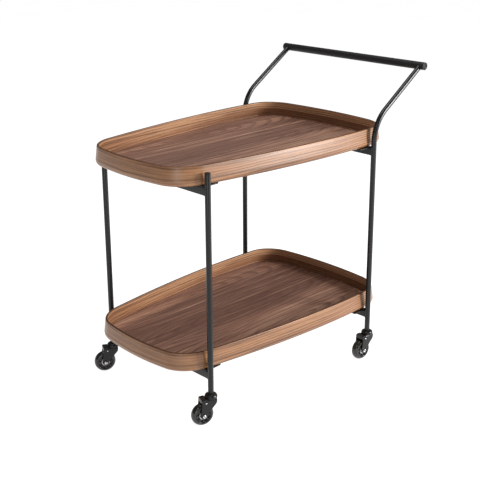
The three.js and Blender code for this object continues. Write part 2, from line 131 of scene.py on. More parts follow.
def carried(path: Array, across: Array, upward: Array, section: Array) -> Array:
    """A section carried along a path: P + s0 * across + s1 * upward.

    Args:
        path: points along the path, (n, 3).
        across: the section's first direction at each point, (n, 3).
        upward: its second direction, (n, 3).
        section: the section's points, (k, 2).

    Returns:
        Points on a grid, (n, k, 3).
    """
    first = section[None, :, :1] * across[:, None]
    second = section[None, :, 1:] * upward[:, None]
    return path[:, None] + first + second


def to_y(points: Array) -> Array:
    """Points turned so that +Z goes to -Y: (x, -z, y)."""
    return np.stack([points[..., 0], -points[..., 2], points[..., 1]], axis=-1)


def moved(points: Array, place: Sequence[float], angle: float = 0.0) -> Array:
    """Points turned about Z by an angle and then moved to a place.

    Args:
        points: the points, with X, Y and Z last.
        place: where their origin goes.
        angle: the turn, in radians.

    Returns:
        The points in place.
    """
    c, s = math.cos(angle), math.sin(angle)
    turn = np.array([[c, -s, 0], [s, c, 0], [0, 0, 1]])
    return points @ turn.T + np.asarray(place, float)


def lathe(corners: Sequence[Sequence[float]], cuts: Sequence[float], steps: int, sides: int) -> Array:
    """A closed outline of (radius, height) corners, softened and then turned about Z."""
    return turned(closed(soften(corners, cuts, steps)), sides)


def rectangle(half_wide: float, half_tall: float, cut: float, steps: int) -> Array:
    """A closed rectangle about the origin with softened corners.

    Args:
        half_wide: half its width.
        half_tall: half its height.
        cut: how far each corner's curve reaches along its sides.
        steps: points per corner.

    Returns:
        The outline, its first point repeated at the end.
    """
    w, t = half_wide, half_tall
    return closed(soften([(-w, -t), (w, -t), (w, t), (-w, t)], [cut] * 4, steps))


def lifted(flat: Array, height: Array) -> Array:
    """Rows of flat points, each row at its own height: (x, y, z)."""
    level = np.broadcast_to(np.asarray(height)[:, None, None], (*flat.shape[:2], 1))
    return np.concatenate([flat, level], axis=2)


def polar(radius: Array, angle: Array) -> tuple[Array, Array]:
    """X and Y on a grid of radii by angles: r cos a and r sin a."""
    return radius[:, None] * np.cos(angle), radius[:, None] * np.sin(angle)


def ramp(value: Array, width: float) -> Array:
    """0 below zero, 1 past a width, and v / width between."""
    return np.clip(value / width, 0, 1)


def domed(radius: Array, size: float, height: float, power: float) -> Array:
    """A dome's height at each radius: h * sqrt(1 - (r / size)^power)."""
    return height * np.sqrt(np.clip(1 - (radius / size) ** power, 0, 1))


def travelled(points: Array) -> Array:
    """The length travelled along a line of points, from 0 at its first."""
    return np.concatenate([[0], np.cumsum(np.linalg.norm(np.diff(points, axis=0), axis=1))])


def extent(node: str) -> tuple[Vector, Vector, Vector]:
    """The low corner, high corner and middle of a CAD node's box."""
    low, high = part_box(node)
    return low, high, (low + high) / 2


@dataclass
class Shell:
    """A piece in the making: grids of points that become one mesh."""

    points: list[Array] = field(default_factory=list)
    faces: list[Array] = field(default_factory=list)
    coords: list[Array] = field(default_factory=list)
    total: int = 0

    def add(self, grid: Array, coords: Array | None = None) -> "Shell":
        """Adds a grid of points, with four-sided faces between neighbours.

        Args:
            grid: points, (rows, columns, 3).
            coords: a UV for each point, (rows, columns, 2).

        Returns:
            The shell itself.
        """
        rows, columns = grid.shape[:2]
        index = np.arange(rows * columns).reshape(rows, columns) + self.total
        quads = np.stack([index[:-1, :-1], index[1:, :-1], index[1:, 1:], index[:-1, 1:]], axis=2)
        self.points.append(grid.reshape(-1, 3))
        self.faces.append(quads.reshape(-1, 4))
        uv = np.zeros((rows, columns, 2)) if coords is None else coords
        self.coords.append(uv.reshape(-1, 2))
        self.total += rows * columns
        return self

    def build(self, name: str, sharp: float = 40.0) -> bpy.types.Object:
        """Makes the mesh: doubles merged, faces outwards, smooth up to an angle.

        Args:
            name: the piece's name.
            sharp: the angle, in degrees, past which an edge stays sharp.

        Returns:
            The new object, at the origin.
        """
        mesh = bpy.data.meshes.new(name)
        mesh.from_pydata(np.concatenate(self.points).tolist(), [], np.concatenate(self.faces).tolist())
        layer = mesh.uv_layers.new(name="grain")
        corner = np.zeros(len(mesh.loops), np.int32)
        mesh.loops.foreach_get("vertex_index", corner)
        layer.data.foreach_set("uv", np.concatenate(self.coords)[corner].astype(np.float32).ravel())
        work = bmesh.new()
        work.from_mesh(mesh)
        bmesh.ops.remove_doubles(work, verts=work.verts, dist=2e-6)
        bmesh.ops.dissolve_degenerate(work, edges=work.edges, dist=1e-7)
        bmesh.ops.recalc_face_normals(work, faces=work.faces)
        work.to_mesh(mesh)
        work.free()
        mesh.shade_smooth()
        mesh.set_sharp_from_angle(angle=math.radians(sharp))
        piece = bpy.data.objects.new(name, mesh)
        bpy.context.scene.collection.objects.link(piece)
        return piece


# ------------------------------------------------------------------ node tools


class Graph:
    """Short calls to add and join nodes in one tree."""

    def __init__(self, tree: bpy.types.NodeTree) -> None:
        """Keeps the tree that the nodes go into."""
        self.tree = tree

    def node(self, kind: str, **settings: Any) -> bpy.types.Node:
        """Adds a node.

        Args:
            kind: the node's Blender type.
            settings: its properties, by name.

        Returns:
            The node.
        """
        made = self.tree.nodes.new(kind)
        for key, value in settings.items():
            setattr(made, key, value)
        return made

    def feed(self, socket: bpy.types.NodeSocket, value: Any) -> None:
        """Joins another socket to this one, or sets its value.

        Args:
            socket: the input to fill.
            value: the output to join to it, or a plain value.
        """
        if isinstance(value, bpy.types.NodeSocket):
            self.tree.links.new(value, socket)
        else:
            socket.default_value = value

    def filled(self, node: bpy.types.Node, values: dict[Any, Any]) -> bpy.types.Node:
        """Feeds several inputs of a node.

        Args:
            node: the node.
            values: what goes into each input, by its name or number.

        Returns:
            The same node.
        """
        for key, value in values.items():
            self.feed(node.inputs[key], value)
        return node

    def math(self, operation: str, *values: Any) -> bpy.types.NodeSocket:
        """The result of a Math node on one or two values."""
        made = self.node("ShaderNodeMath", operation=operation)
        return self.filled(made, dict(enumerate(values))).outputs[0]

    def plus(self, first: Any, second: Any) -> bpy.types.NodeSocket:
        """The sum of two values."""
        return self.math("ADD", first, second)

    def minus(self, first: Any, second: Any) -> bpy.types.NodeSocket:
        """The first value less the second."""
        return self.math("SUBTRACT", first, second)

    def times(self, first: Any, second: Any) -> bpy.types.NodeSocket:
        """The product of two values."""
        return self.math("MULTIPLY", first, second)

    def step(self, value: Any, low: float, high: float) -> bpy.types.NodeSocket:
        """A smooth step from 0 at low to 1 at high."""
        made = self.node("ShaderNodeMapRange", interpolation_type="SMOOTHSTEP")
        return self.filled(made, {"Value": value, "From Min": low, "From Max": high}).outputs["Result"]

    def between(self, value: Any, low: float, high: float) -> bpy.types.NodeSocket:
        """The value 0 to 1 stretched to low to high."""
        made = self.node("ShaderNodeMapRange")
        return self.filled(made, {"Value": value, "To Min": low, "To Max": high}).outputs["Result"]

    def blend(self, share: Any, first: Any, second: Any, mode: str = "MIX") -> bpy.types.NodeSocket:
        """Two colours mixed by a share."""
        made = self.node("ShaderNodeMix", data_type="RGBA", blend_type=mode)
        return self.filled(made, {0: share, 6: first, 7: second}).outputs[2]

    def stretch(self, vector: Any, scale: Sequence[float], offset: Any = (0, 0, 0)) -> bpy.types.NodeSocket:
        """A vector scaled along each axis and then moved."""
        made = self.node("ShaderNodeVectorMath", operation="MULTIPLY_ADD")
        return self.filled(made, {0: vector, 1: scale, 2: offset}).outputs[0]

    def noise(self, vector: Any, scale: Any, detail: float = 2.0, rough: float = 0.5,
              twist: float = 0.0) -> bpy.types.NodeSocket:
        """A smooth random value over space, about 0 to 1.

        Args:
            vector: where it is read.
            scale: how fine it is.
            detail: the number of finer layers.
            rough: how strong they are.
            twist: how far it is bent by itself.

        Returns:
            The value.
        """
        values = {"Vector": vector, "Scale": scale, "Detail": detail, "Roughness": rough, "Distortion": twist}
        return self.filled(self.node("ShaderNodeTexNoise"), values).outputs["Fac"]

    def axes(self, vector: Any) -> Any:
        """The three parts of a vector."""
        return self.filled(self.node("ShaderNodeSeparateXYZ"), {0: vector}).outputs


def group(name: str, inputs: dict[str, tuple[str, Any]], outputs: dict[str, str],
          fill: Callable[[Graph, dict, dict], None]) -> bpy.types.NodeTree:
    """Builds a shader node group with named inputs and outputs.

    Args:
        name: the group's name.
        inputs: for each input, its socket kind and its first value.
        outputs: for each output, its socket kind.
        fill: makes the nodes, given the graph, the inputs and the outputs.

    Returns:
        The group.
    """
    tree = bpy.data.node_groups.new(name, "ShaderNodeTree")
    for key, (kind, value) in inputs.items():
        socket = tree.interface.new_socket(key, in_out="INPUT", socket_type=kind)
        if value is not None:
            socket.default_value = value
    for key, kind in outputs.items():
        tree.interface.new_socket(key, in_out="OUTPUT", socket_type=kind)
    graph = Graph(tree)
    given = graph.node("NodeGroupInput")
    result = graph.node("NodeGroupOutput")
    fill(graph, {k: given.outputs[k] for k in inputs}, {k: result.inputs[k] for k in outputs})
    return tree


FLOAT = "NodeSocketFloat"
VECTOR = "NodeSocketVector"
FIGURE = ("Ring", "Tone", "Streak", "Fibre", "Pore")
SKIN = ("Peel", "Cloud", "Dust")


def veneer_figure() -> bpy.types.NodeTree:
    """The figure of flat-sawn veneer, from a vector of (along, across) in metres.

    Each leaf is a slice through a slightly tilted log. With x along the leaf and y across it, a growth
    ring is a line of constant r = sqrt(y'^2 + (arch * (x - x0))^2), where y' is y bent by slow noise.
    The ring mask is a narrow smooth peak of fract(r / spacing). Fibres and pores are noise drawn out
    along x.

    Returns:
        The group, with outputs Ring, Tone, Streak, Fibre and Pore.
    """

    def fill(g: Graph, given: dict, result: dict) -> None:
        """Makes the nodes.

        Args:
            g: the group's own tree.
            given: its inputs, by name.
            result: its outputs, by name.
        """
        along, across, _ = g.axes(given["Vector"])
        leaf = g.math("FLOOR", g.plus(g.math("DIVIDE", across, given["Leaf Width"]), 0.5))
        local = g.minus(across, g.times(leaf, given["Leaf Width"]))
        picked = g.node("ShaderNodeTexWhiteNoise", noise_dimensions="1D")
        g.feed(picked.inputs["W"], g.plus(leaf, given["Seed"]))
        first, second, third = g.axes(picked.outputs["Color"])
        shift = g.node("ShaderNodeCombineXYZ")
        g.filled(shift, {0: g.times(first, 7.0), 1: g.times(second, 5.0), 2: given["Seed"]})

        def drawn(fine: tuple[float, float], *settings: float, moves: bool = True) -> bpy.types.NodeSocket:
            """Noise drawn out along the grain; it moves from leaf to leaf unless told not to."""
            offset = shift.outputs[0] if moves else (0, 0, 0)
            return g.noise(g.stretch(given["Vector"], (*fine, 1.0), offset), 1.0, *settings)

        bend = g.times(g.minus(drawn((2.6, 11.0), 2.0, 0.45), 0.5), given["Wobble"])
        ripple = g.times(g.minus(drawn((9.0, 60.0), 2.0, 0.5), 0.5), g.times(given["Wobble"], 0.16))
        off_centre = g.times(g.minus(second, 0.5), given["Offset"])
        bent = g.plus(g.plus(local, off_centre), g.plus(bend, ripple))
        start = g.times(g.minus(first, 0.5), given["Spread"])
        depth = g.times(g.minus(along, start), given["Arch"])
        radius = g.math("SQRT", g.plus(g.times(bent, bent), g.times(depth, depth)))
        phase = g.math("FRACT", g.math("DIVIDE", radius, given["Spacing"]))
        band = g.times(g.step(phase, 0.4, 0.88), g.minus(1.0, g.step(phase, 0.9, 1.0)))
        g.feed(result["Ring"], g.times(band, g.step(drawn((3.0, 26.0), 3.0, 0.6), 0.28, 0.66)))
        tone = g.times(drawn((1.3, 17.0), 3.0, 0.55, 0.4), 0.75)
        g.feed(result["Tone"], g.plus(tone, g.times(third, 0.25)))
        g.feed(result["Streak"], drawn((2.4, 165.0), 3.0, 0.62, 0.25))
        g.feed(result["Fibre"], drawn((7.0, 620.0), 3.0, 0.65, moves=False))
        dash = g.step(drawn((55.0, 1500.0), 1.0, 0.5, moves=False), 0.62, 0.74)
        fleck = g.step(drawn((24.0, 430.0), 1.0, 0.5, moves=False), 0.58, 0.72)
        g.feed(result["Pore"], g.math("MINIMUM", g.plus(dash, g.times(fleck, 0.8)), 1.0))

    inputs = {
        "Vector": (VECTOR, None), "Leaf Width": (FLOAT, 0.12), "Spacing": (FLOAT, 0.006),
        "Arch": (FLOAT, 0.08), "Wobble": (FLOAT, 0.03), "Offset": (FLOAT, 0.04), "Spread": (FLOAT, 0.4),
        "Seed": (FLOAT, 0.0),
    }
    return group("veneer figure", inputs, dict.fromkeys(FIGURE, FLOAT), fill)


def coat_texture() -> bpy.types.NodeTree:
    """A sprayed or moulded skin: fine orange peel, cloudy gloss and sparse dust.

    Returns:
        The group, with outputs Peel, Cloud and Dust.
    """

    def fill(g: Graph, given: dict, result: dict) -> None:
        """Makes the nodes.

        Args:
            g: the group's own tree.
            given: its inputs, by name.
            result: its outputs, by name.
        """
        vector = given["Vector"]
        g.feed(result["Peel"], g.noise(vector, given["Grain"], 3.0))
        g.feed(result["Cloud"], g.noise(vector, 14.0, 4.0, 0.6, 0.5))
        specks = g.filled(g.node("ShaderNodeTexVoronoi", feature="F1"), {"Vector": vector, "Scale": 260.0})
        near = g.minus(1.0, g.step(specks.outputs["Distance"], 0.05, 0.16))
        g.feed(result["Dust"], g.times(near, g.step(g.noise(vector, 30.0), 0.5, 0.72)))

    inputs = {"Vector": (VECTOR, None), "Grain": (FLOAT, 1600.0)}
    return group("coat texture", inputs, dict.fromkeys(SKIN, FLOAT), fill)


def edge_wear() -> bpy.types.NodeTree:
    """Rubbed edges: where the surface is convex and a slow noise agrees.

    Returns:
        The group, with the output Wear.
    """

    def fill(g: Graph, given: dict, result: dict) -> None:
        """Makes the nodes.

        Args:
            g: the group's own tree.
            given: its inputs, by name.
            result: its outputs, by name.
        """
        convex = g.step(g.node("ShaderNodeNewGeometry").outputs["Pointiness"], 0.53, 0.62)
        broken = g.step(g.noise(given["Vector"], 90.0, 4.0, 0.65), 0.45, 0.7)
        g.feed(result["Wear"], g.times(g.times(convex, broken), given["Amount"]))

    return group("edge wear", {"Vector": (VECTOR, None), "Amount": (FLOAT, 0.5)}, {"Wear": FLOAT}, fill)


GROUPS: dict[str, bpy.types.NodeTree] = {}


def place_group(graph: Graph, key: str, **values: Any) -> bpy.types.Node:
    """Places a shared group in a tree, with its inputs fed by name, a space written as _."""
    made = graph.node("ShaderNodeGroup", node_tree=GROUPS[key])
    return graph.filled(made, {name.replace("_", " "): value for name, value in values.items()})


def blank_material(name: str) -> tuple[bpy.types.Material, Graph, bpy.types.Node]:
    """A new material with one Principled shader joined to its output.

    Args:
        name: the material's name.

    Returns:
        The material, its graph and its shader.
    """
    made = bpy.data.materials.new(name)
    made.use_nodes = True
    made.node_tree.nodes.clear()
    graph = Graph(made.node_tree)
    shader = graph.node("ShaderNodeBsdfPrincipled")
    output = graph.node("ShaderNodeOutputMaterial")
    graph.feed(output.inputs["Surface"], shader.outputs[0])
    return made, graph, shader


def add_relief(graph: Graph, shader: bpy.types.Node, height: Any, depth: float) -> None:
    """Bumps a shader's normal.

    Args:
        graph: the material's graph.
        shader: its shader.
        height: the height, 0 to 1.
        depth: how deep a height of 1 is, in metres.
    """
    bump = graph.filled(graph.node("ShaderNodeBump"), {"Strength": 1.0, "Distance": depth, "Height": height})
    graph.feed(shader.inputs["Normal"], bump.outputs[0])


@dataclass(frozen=True)
class Walnut:
    """Lacquered walnut veneer.

    The wall's grain runs along the wall, read from the piece's own coordinates (along, up the wall);
    the floor's grain runs along X, read from the piece's position. Only the wall has a coat, a dark
    rim between rim_from and rim_to, painted shade that darkens and greys its outside face, and
    painted light that brightens its inside face.
    """

    name: str
    light: Colour
    mid: Colour
    dark: Colour
    line: Colour
    along_wall: bool = False
    leaf: float = 0.115
    spacing: float = 0.0075
    arch: float = 0.085
    wobble: float = 0.035
    offset: float = 0.03
    spread: float = 0.4
    ring: float = 0.75
    seed: float = 0.0
    rim_from: float = 1.0
    rim_to: float = 1.1
    rim: Colour = (0.06, 0.03, 0.02, 1)
    # painted shade: the outside tint darkens and greys the outer face; the inside tint is painted light that
    # brightens the inner face
    outside: Colour = (0.715, 0.615, 0.505, 1)
    inside: Colour = (1.06, 1.03, 1.0, 1)
    roughness: float = 0.26
    sheen: float = 0.3
    coat: float = 0.0

    def make(self) -> bpy.types.Material:
        """Builds the material.

        Returns:
            The material.
        """
        made, g, shader = blank_material(self.name)
        if self.along_wall:
            vector = g.node("ShaderNodeUVMap", uv_map="grain").outputs["UV"]
        else:
            vector = g.node("ShaderNodeTexCoord").outputs["Object"]
        figure = place_group(
            g, "veneer", Vector=vector, Leaf_Width=self.leaf, Spacing=self.spacing, Arch=self.arch,
            Wobble=self.wobble, Offset=self.offset, Spread=self.spread, Seed=self.seed,
        )
        ring, tone, streak, fibre, pore = (figure.outputs[key] for key in FIGURE)
        colour = g.blend(g.step(tone, 0.34, 0.5), self.dark, self.mid)
        for share, tint in (
            (g.step(tone, 0.48, 0.62), self.light),
            (g.times(g.step(streak, 0.5, 0.34), 0.6), self.line),
            (g.times(g.step(streak, 0.54, 0.68), 0.6), self.light),
            (g.times(ring, self.ring), self.line),
            (g.times(g.step(fibre, 0.42, 0.7), 0.28), self.line),
            (g.times(g.step(fibre, 0.5, 0.3), 0.22), self.light),
            (g.times(pore, 0.35), self.line),
        ):
            colour = g.blend(share, colour, tint)
        if self.along_wall:
            up = g.axes(vector)[1]
            rise = g.step(up, self.rim_from - 0.0006, self.rim_from + 0.0004)
            fall = g.minus(1.0, g.step(up, self.rim_to - 0.0004, self.rim_to + 0.0006))
            colour = g.blend(g.times(g.times(rise, fall), 0.82), colour, self.rim)
            # painted shade and light: the outer face is multiplied darker and the inner face lighter, as they
            # are lit
            face = g.blend(g.step(up, self.rim_from, self.rim_to), self.outside, self.inside)
            colour = g.blend(1.0, colour, face, "MULTIPLY")
            below = g.minus(1.0, g.step(up, self.rim_from - 0.006, self.rim_from))
            g.feed(shader.inputs["Coat Weight"], g.times(below, self.coat))
        gloss = g.plus(g.times(tone, 0.1), g.times(fibre, 0.12))
        height = g.minus(g.times(fibre, 0.35), g.times(pore, 0.5))
        add_relief(g, shader, g.minus(height, g.times(ring, 0.15)), 0.00006)
        g.filled(shader, {
            "Base Color": colour, "Roughness": g.plus(gloss, self.roughness),
            "Specular IOR Level": self.sheen, "Coat Roughness": 0.3,
        })
        return made


@dataclass(frozen=True)
class Coated:
    """Powder coat, paint or moulded plastic: one tone, orange peel, dust and rubbed edges."""

    name: str
    colour: Colour
    worn: Colour
    roughness: float
    grain: float = 1600.0
    peel: float = 0.00004
    wear: float = 0.35
    dust: float = 0.12
    coat: float = 0.0
    sheen: float = 0.4

    def make(self) -> bpy.types.Material:
        """Builds the material.

        Returns:
            The material.
        """
        made, g, shader = blank_material(self.name)
        vector = g.node("ShaderNodeTexCoord").outputs["Object"]
        skin = place_group(g, "coat", Vector=vector, Grain=self.grain)
        peel, cloud, specks = (skin.outputs[key] for key in SKIN)
        worn = place_group(g, "wear", Vector=vector, Amount=self.wear).outputs["Wear"]
        dust = g.times(specks, self.dust)
        colour = g.blend(1.0, self.colour, g.between(cloud, 0.82, 1.2), "MULTIPLY")
        colour = g.blend(dust, g.blend(worn, colour, self.worn), (0.32, 0.3, 0.28, 1))
        rough = g.between(cloud, self.roughness - 0.07, self.roughness + 0.09)
        g.filled(shader, {
            "Base Color": colour, "Roughness": g.plus(rough, g.times(dust, 0.5)),
            "Specular IOR Level": self.sheen, "Coat Weight": self.coat, "Coat Roughness": 0.08,
        })
        add_relief(g, shader, peel, self.peel)
        return made


@dataclass(frozen=True)
class Plated:
    """Bright plated steel with a fine bumped relief and a little haze."""

    name: str
    colour: Colour
    tarnish: Colour
    roughness: float = 0.2
    grain: float = 3200.0
    relief: float = 0.00001

    def make(self) -> bpy.types.Material:
        """Builds the material.

        Returns:
            The material.
        """
        made, g, shader = blank_material(self.name)
        vector = g.node("ShaderNodeTexCoord").outputs["Object"]
        skin = place_group(g, "coat", Vector=vector, Grain=self.grain)
        peel, cloud, dust = (skin.outputs[key] for key in SKIN)
        rough = g.between(cloud, self.roughness - 0.06, self.roughness + 0.16)
        g.filled(shader, {
            "Base Color": g.blend(g.step(cloud, 0.42, 0.75), self.colour, self.tarnish),
            "Roughness": g.plus(rough, g.times(dust, 0.2)), "Metallic": 1.0,
        })
        add_relief(g, shader, peel, self.relief)
        return made


class Finish(Enum):
    """The finishes of the cart, each with the record's material slot that it belongs to."""

    WALL = "walnut_wall"
    FLOOR = "walnut_floor"
    STEEL = "black_steel"
    GRIP = "black_grip"
    PLASTIC = "black_plastic"
    BRIGHT = "bright_steel"
    TYRE = "smoked_tyre"
    HUB = "gloss_hub"


def make_finishes() -> dict[Finish, bpy.types.Material]:
    """Builds the shared groups and every finish.

    Returns:
        The material of each finish.
    """
    GROUPS.update(veneer=veneer_figure(), coat=coat_texture(), wear=edge_wear())
    wall = Walnut(
        "walnut wall", light=(0.44, 0.245, 0.135, 1), mid=(0.275, 0.132, 0.066, 1),
        dark=(0.16, 0.07, 0.034, 1), line=(0.07, 0.028, 0.013, 1), along_wall=True, leaf=0.16,
        spacing=0.0064, arch=0.035, wobble=0.022, offset=0.05, seed=3.0, coat=0.36, ring=1.0,
        rim_from=0.0558, rim_to=0.0612,
    )
    floor = Walnut(
        "walnut floor", light=(0.6, 0.365, 0.25, 1), mid=(0.37, 0.195, 0.133, 1),
        dark=(0.2, 0.098, 0.07, 1), line=(0.085, 0.04, 0.029, 1), leaf=0.16, spacing=0.0125, arch=0.2,
        wobble=0.048, ring=0.62, spread=0.3, seed=11.0, roughness=0.34, sheen=0.25,
    )
    steel = Coated(
        "black powder coat", (0.0085, 0.0082, 0.0085, 1), (0.05, 0.05, 0.05, 1), roughness=0.25, grain=900.0,
        peel=0.000012, sheen=0.3,
    )
    grip = Coated(
        "matte black grip", (0.010, 0.0085, 0.009, 1), (0.04, 0.036, 0.036, 1), roughness=0.52, grain=1500.0,
        peel=0.000025, sheen=0.3,
    )
    plastic = Coated(
        "black moulding", (0.010, 0.010, 0.0105, 1), (0.05, 0.05, 0.05, 1), roughness=0.42, grain=2600.0,
        peel=0.00003, sheen=0.22,
    )
    bright = Plated("bright zinc", (0.62, 0.62, 0.63, 1), (0.4, 0.385, 0.36, 1))
    tyre = Coated(
        "smoked polyurethane", (0.011, 0.0105, 0.009, 1), (0.06, 0.06, 0.05, 1), roughness=0.16, grain=500.0,
        peel=0.00002, wear=0.2, dust=0.3, coat=0.55, sheen=0.25,
    )
    hub = Coated(
        "glossy black moulding", (0.006, 0.006, 0.006, 1), (0.04, 0.04, 0.04, 1), roughness=0.18, grain=700.0,
        peel=0.00002, wear=0.3, dust=0.3, coat=0.5, sheen=0.3,
    )
    made = (wall, floor, steel, grip, plastic, bright, tyre, hub)
    return {finish: spec.make() for finish, spec in zip(Finish, made)}


FINISHES: dict[Finish, bpy.types.Material] = {}


def fit(piece: bpy.types.Object, body: str, finish: Finish, *nodes: str) -> None:
    """Dresses a piece, puts it on its body and lets it stand for its CAD nodes.

    Args:
        piece: the piece, in place.
        body: the CAD body that carries it.
        finish: its finish.
        nodes: the CAD nodes that it replaces.
    """
    piece.data.materials.append(FINISHES[finish])
    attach(piece, body)
    if nodes:
        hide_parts(*nodes)
    LOG.info("%s: %d faces, on %s", piece.name, len(piece.data.polygons), body)


def present(grid: Array, name: str, body: str, finish: Finish, *nodes: str, sharp: float = 40.0) -> None:
    """Makes a piece of one grid of points and fits it, with the arguments of Shell.build and fit."""
    fit(Shell().add(grid).build(name, sharp), body, finish, *nodes)


# ------------------------------------------------------------------ trays


@dataclass
class TrayPlan:
    """The outline of a tray seen from above: bowed sides and ends, round corners, wider at the handle.

    Every point is centre + (radius - inset) * direction, with one centre and radius for each of the
    side, corner and end arcs. Then y is multiplied by 1 + taper * x / half_length, and the outline
    is moved to the tray's middle.
    """

    middle: float
    half_length: float = 0.3853
    half_width: float = 0.2332
    taper: float = 0.14
    side_bow: float = 0.0277
    end_bow: float = 0.028
    corner: float = 0.095
    side_steps: int = 34
    corner_steps: int = 22
    end_steps: int = 20

    def quarter(self) -> tuple[Array, Array, Array]:
        """The arcs of one quarter, from the end's middle to the side's middle.

        Returns:
            For each point, its arc's centre, its radius and its direction.
        """
        side_r = self.half_length**2 / (2 * self.side_bow)
        end_r = self.half_width**2 / (2 * self.end_bow)
        side_c = np.array([0, self.half_width - side_r])
        end_c = np.array([self.half_length - end_r, 0])
        gap = end_c - side_c
        distance = float(np.hypot(*gap))
        to_side, to_end = side_r - self.corner, end_r - self.corner
        along = (to_side**2 - to_end**2 + distance**2) / (2 * distance)
        unit = gap / distance
        corner_c = side_c + unit * along + np.array([unit[1], -unit[0]]) * math.sqrt(to_side**2 - along**2)
        end_angle = math.atan2(*(corner_c - end_c)[::-1])
        side_angle = math.atan2(*(corner_c - side_c)[::-1])
        angles = np.concatenate([
            spread(0, end_angle, self.end_steps + 1)[:-1],
            spread(end_angle, side_angle, self.corner_steps + 1)[:-1],
            spread(side_angle, math.pi / 2, self.side_steps + 1),
        ])
        counts = [self.end_steps, self.corner_steps, self.side_steps + 1]
        centres = np.repeat([end_c, corner_c, side_c], counts, axis=0)
        radii = np.repeat([end_r, self.corner, side_r], counts)
        return centres, radii, np.stack([np.cos(angles), np.sin(angles)], axis=1)

    def outline(self, inset: Array) -> Array:
        """The outline drawn in by each inset, and closed on itself.

        Args:
            inset: how far in each row lies.

        Returns:
            Points, (insets, points, 2).
        """
        centres, radii, directions = self.quarter()
        inset = np.atleast_1d(inset)[:, None, None]
        quarter = centres + (radii[:, None] - inset) * directions
        back = quarter[:, ::-1]
        whole = np.concatenate([
            quarter[:, :-1], (back * [-1, 1])[:, :-1], (quarter * [-1, -1])[:, :-1], back * [1, -1],
        ], axis=1)
        across = whole[..., 1] * (1 + self.taper * whole[..., 0] / self.half_length)
        return np.stack([whole[..., 0] + self.middle, across], axis=2)


@dataclass
class Tray:
    """A bent veneer wall round a floor panel."""

    name: str
    base: float
    plan: TrayPlan
    height: float = 0.0495
    lean: float = 0.0053
    foot: float = 0.008
    foot_round: tuple[float, float] = (0.0084, 0.0125)
    foot_in: float = 0.0004
    ledge: float = 0.0105
    rim: float = 0.0066
    panel: float = 0.007

    @property
    def inner(self) -> float:
        """How far in the wall's inner face is at the top of the panel."""
        return self.foot + self.lean * self.panel / self.height

    def wall_section(self) -> Array:
        """The wall's section: round foot, leaning face, soft rim, inner fillet.

        The foot is a quarter of an ellipse, (w - w sin t, h - h cos t), then the face leans in.

        Returns:
            Points of (inset, height), the first repeated at the end.
        """
        low, high, lap = self.panel - 0.0008, self.panel + 0.00015, self.inner + 0.005
        turn = spread(0, math.pi / 2, 12)
        wide, tall = self.foot_round
        foot = np.stack([self.foot_in + wide * (1 - np.sin(turn)), tall * (1 - np.cos(turn))], axis=1)
        corners = [
            (self.ledge, 0.0), (self.foot_in, tall), (self.lean * 0.45 - 0.0006, self.height * 0.45),
            (self.lean, self.height), (self.lean + self.rim, self.height),
            (self.inner + 0.0004, self.panel + 0.0001), (lap, high), (lap, low), (self.ledge, low),
        ]
        steps = 7
        outline = soften(corners, [0, 0, 0.009, 0.0028, 0.0028, 0.0034, 0, 0, 0], steps)
        return closed(np.concatenate([outline[:steps], foot, outline[2 * steps:]]))

    def wall(self) -> None:
        """The wall: the section carried round the outline, with (length round, length up) as its UV.

        The length round is L / 2 - |s - L / 2|, so the veneer is matched like a book at the two ends.
        """
        section = self.wall_section()
        grid = lifted(self.plan.outline(section[:, 0]), section[:, 1] + self.base)
        around = travelled(self.plan.outline(np.zeros(1))[0])
        around = around[-1] / 2 - np.abs(around - around[-1] / 2)
        coords = np.stack(np.broadcast_arrays(around[None], travelled(section)[:, None]), axis=2)
        wall = Shell().add(grid, coords).build(f"{self.name}_tray_bent_wall", 50)
        fit(wall, "cart", Finish.WALL, f"{self.name}_tray_wall")

    def floor(self) -> None:
        """The floor panel: the outline shrunk towards the middle, c + t * (p - c), top and bottom."""
        edge = self.plan.outline(np.array([self.inner + 0.0003]))[0]
        share = np.array([0.0, 0.3, 0.6, 0.85, 0.97, 0.999, 1.0])
        share = np.concatenate([share, share[::-1]])
        soft = 0.0004
        rise = np.array([*[0.0] * 6, soft, self.panel - soft, *[self.panel] * 6])
        middle = np.array([self.plan.middle, 0])
        grid = lifted(middle + share[:, None, None] * (edge - middle)[None], rise + self.base)
        present(grid, f"{self.name}_tray_panel", "cart", Finish.FLOOR, f"{self.name}_tray_floor", sharp=50)

    def build(self) -> None:
        """Builds and dresses the tray."""
        self.wall()
        self.floor()


# ------------------------------------------------------------------ frame


def bead(path: Array, centre: Array, radius: float, ripple: float = 0.18, waves: int = 26) -> Array:
    """A weld bead along a closed path: a small circle whose radius rises and falls as it goes.

    The circle lies in the plane of the outward direction from the centre and the bead's own normal.
    Its radius is r * (1 + ripple * |sin(waves * s / 2)|), with s running once round.

    Args:
        path: points of the closed path, the first repeated at the end.
        centre: a point inside it.
        radius: the bead's radius.
        ripple: how far the radius rises.
        waves: ripples round the path.

    Returns:
        Points on a grid.
    """
    ahead = np.roll(path[:-1], -1, axis=0) - np.roll(path[:-1], 1, axis=0)
    ahead = closed(ahead / np.linalg.norm(ahead, axis=1, keepdims=True))
    out = path - centre
    out -= (out * ahead).sum(1, keepdims=True) * ahead
    out /= np.linalg.norm(out, axis=1, keepdims=True)
    side = np.cross(ahead, out)
    size = radius * (1 + ripple * np.abs(np.sin(spread(0, waves * math.pi, len(path)))))
    ring = circle(1.0, 8)
    offset = ring[None, :, :1] * out[:, None] + ring[None, :, 1:] * side[:, None]
    return path[:, None] + size[:, None, None] * offset


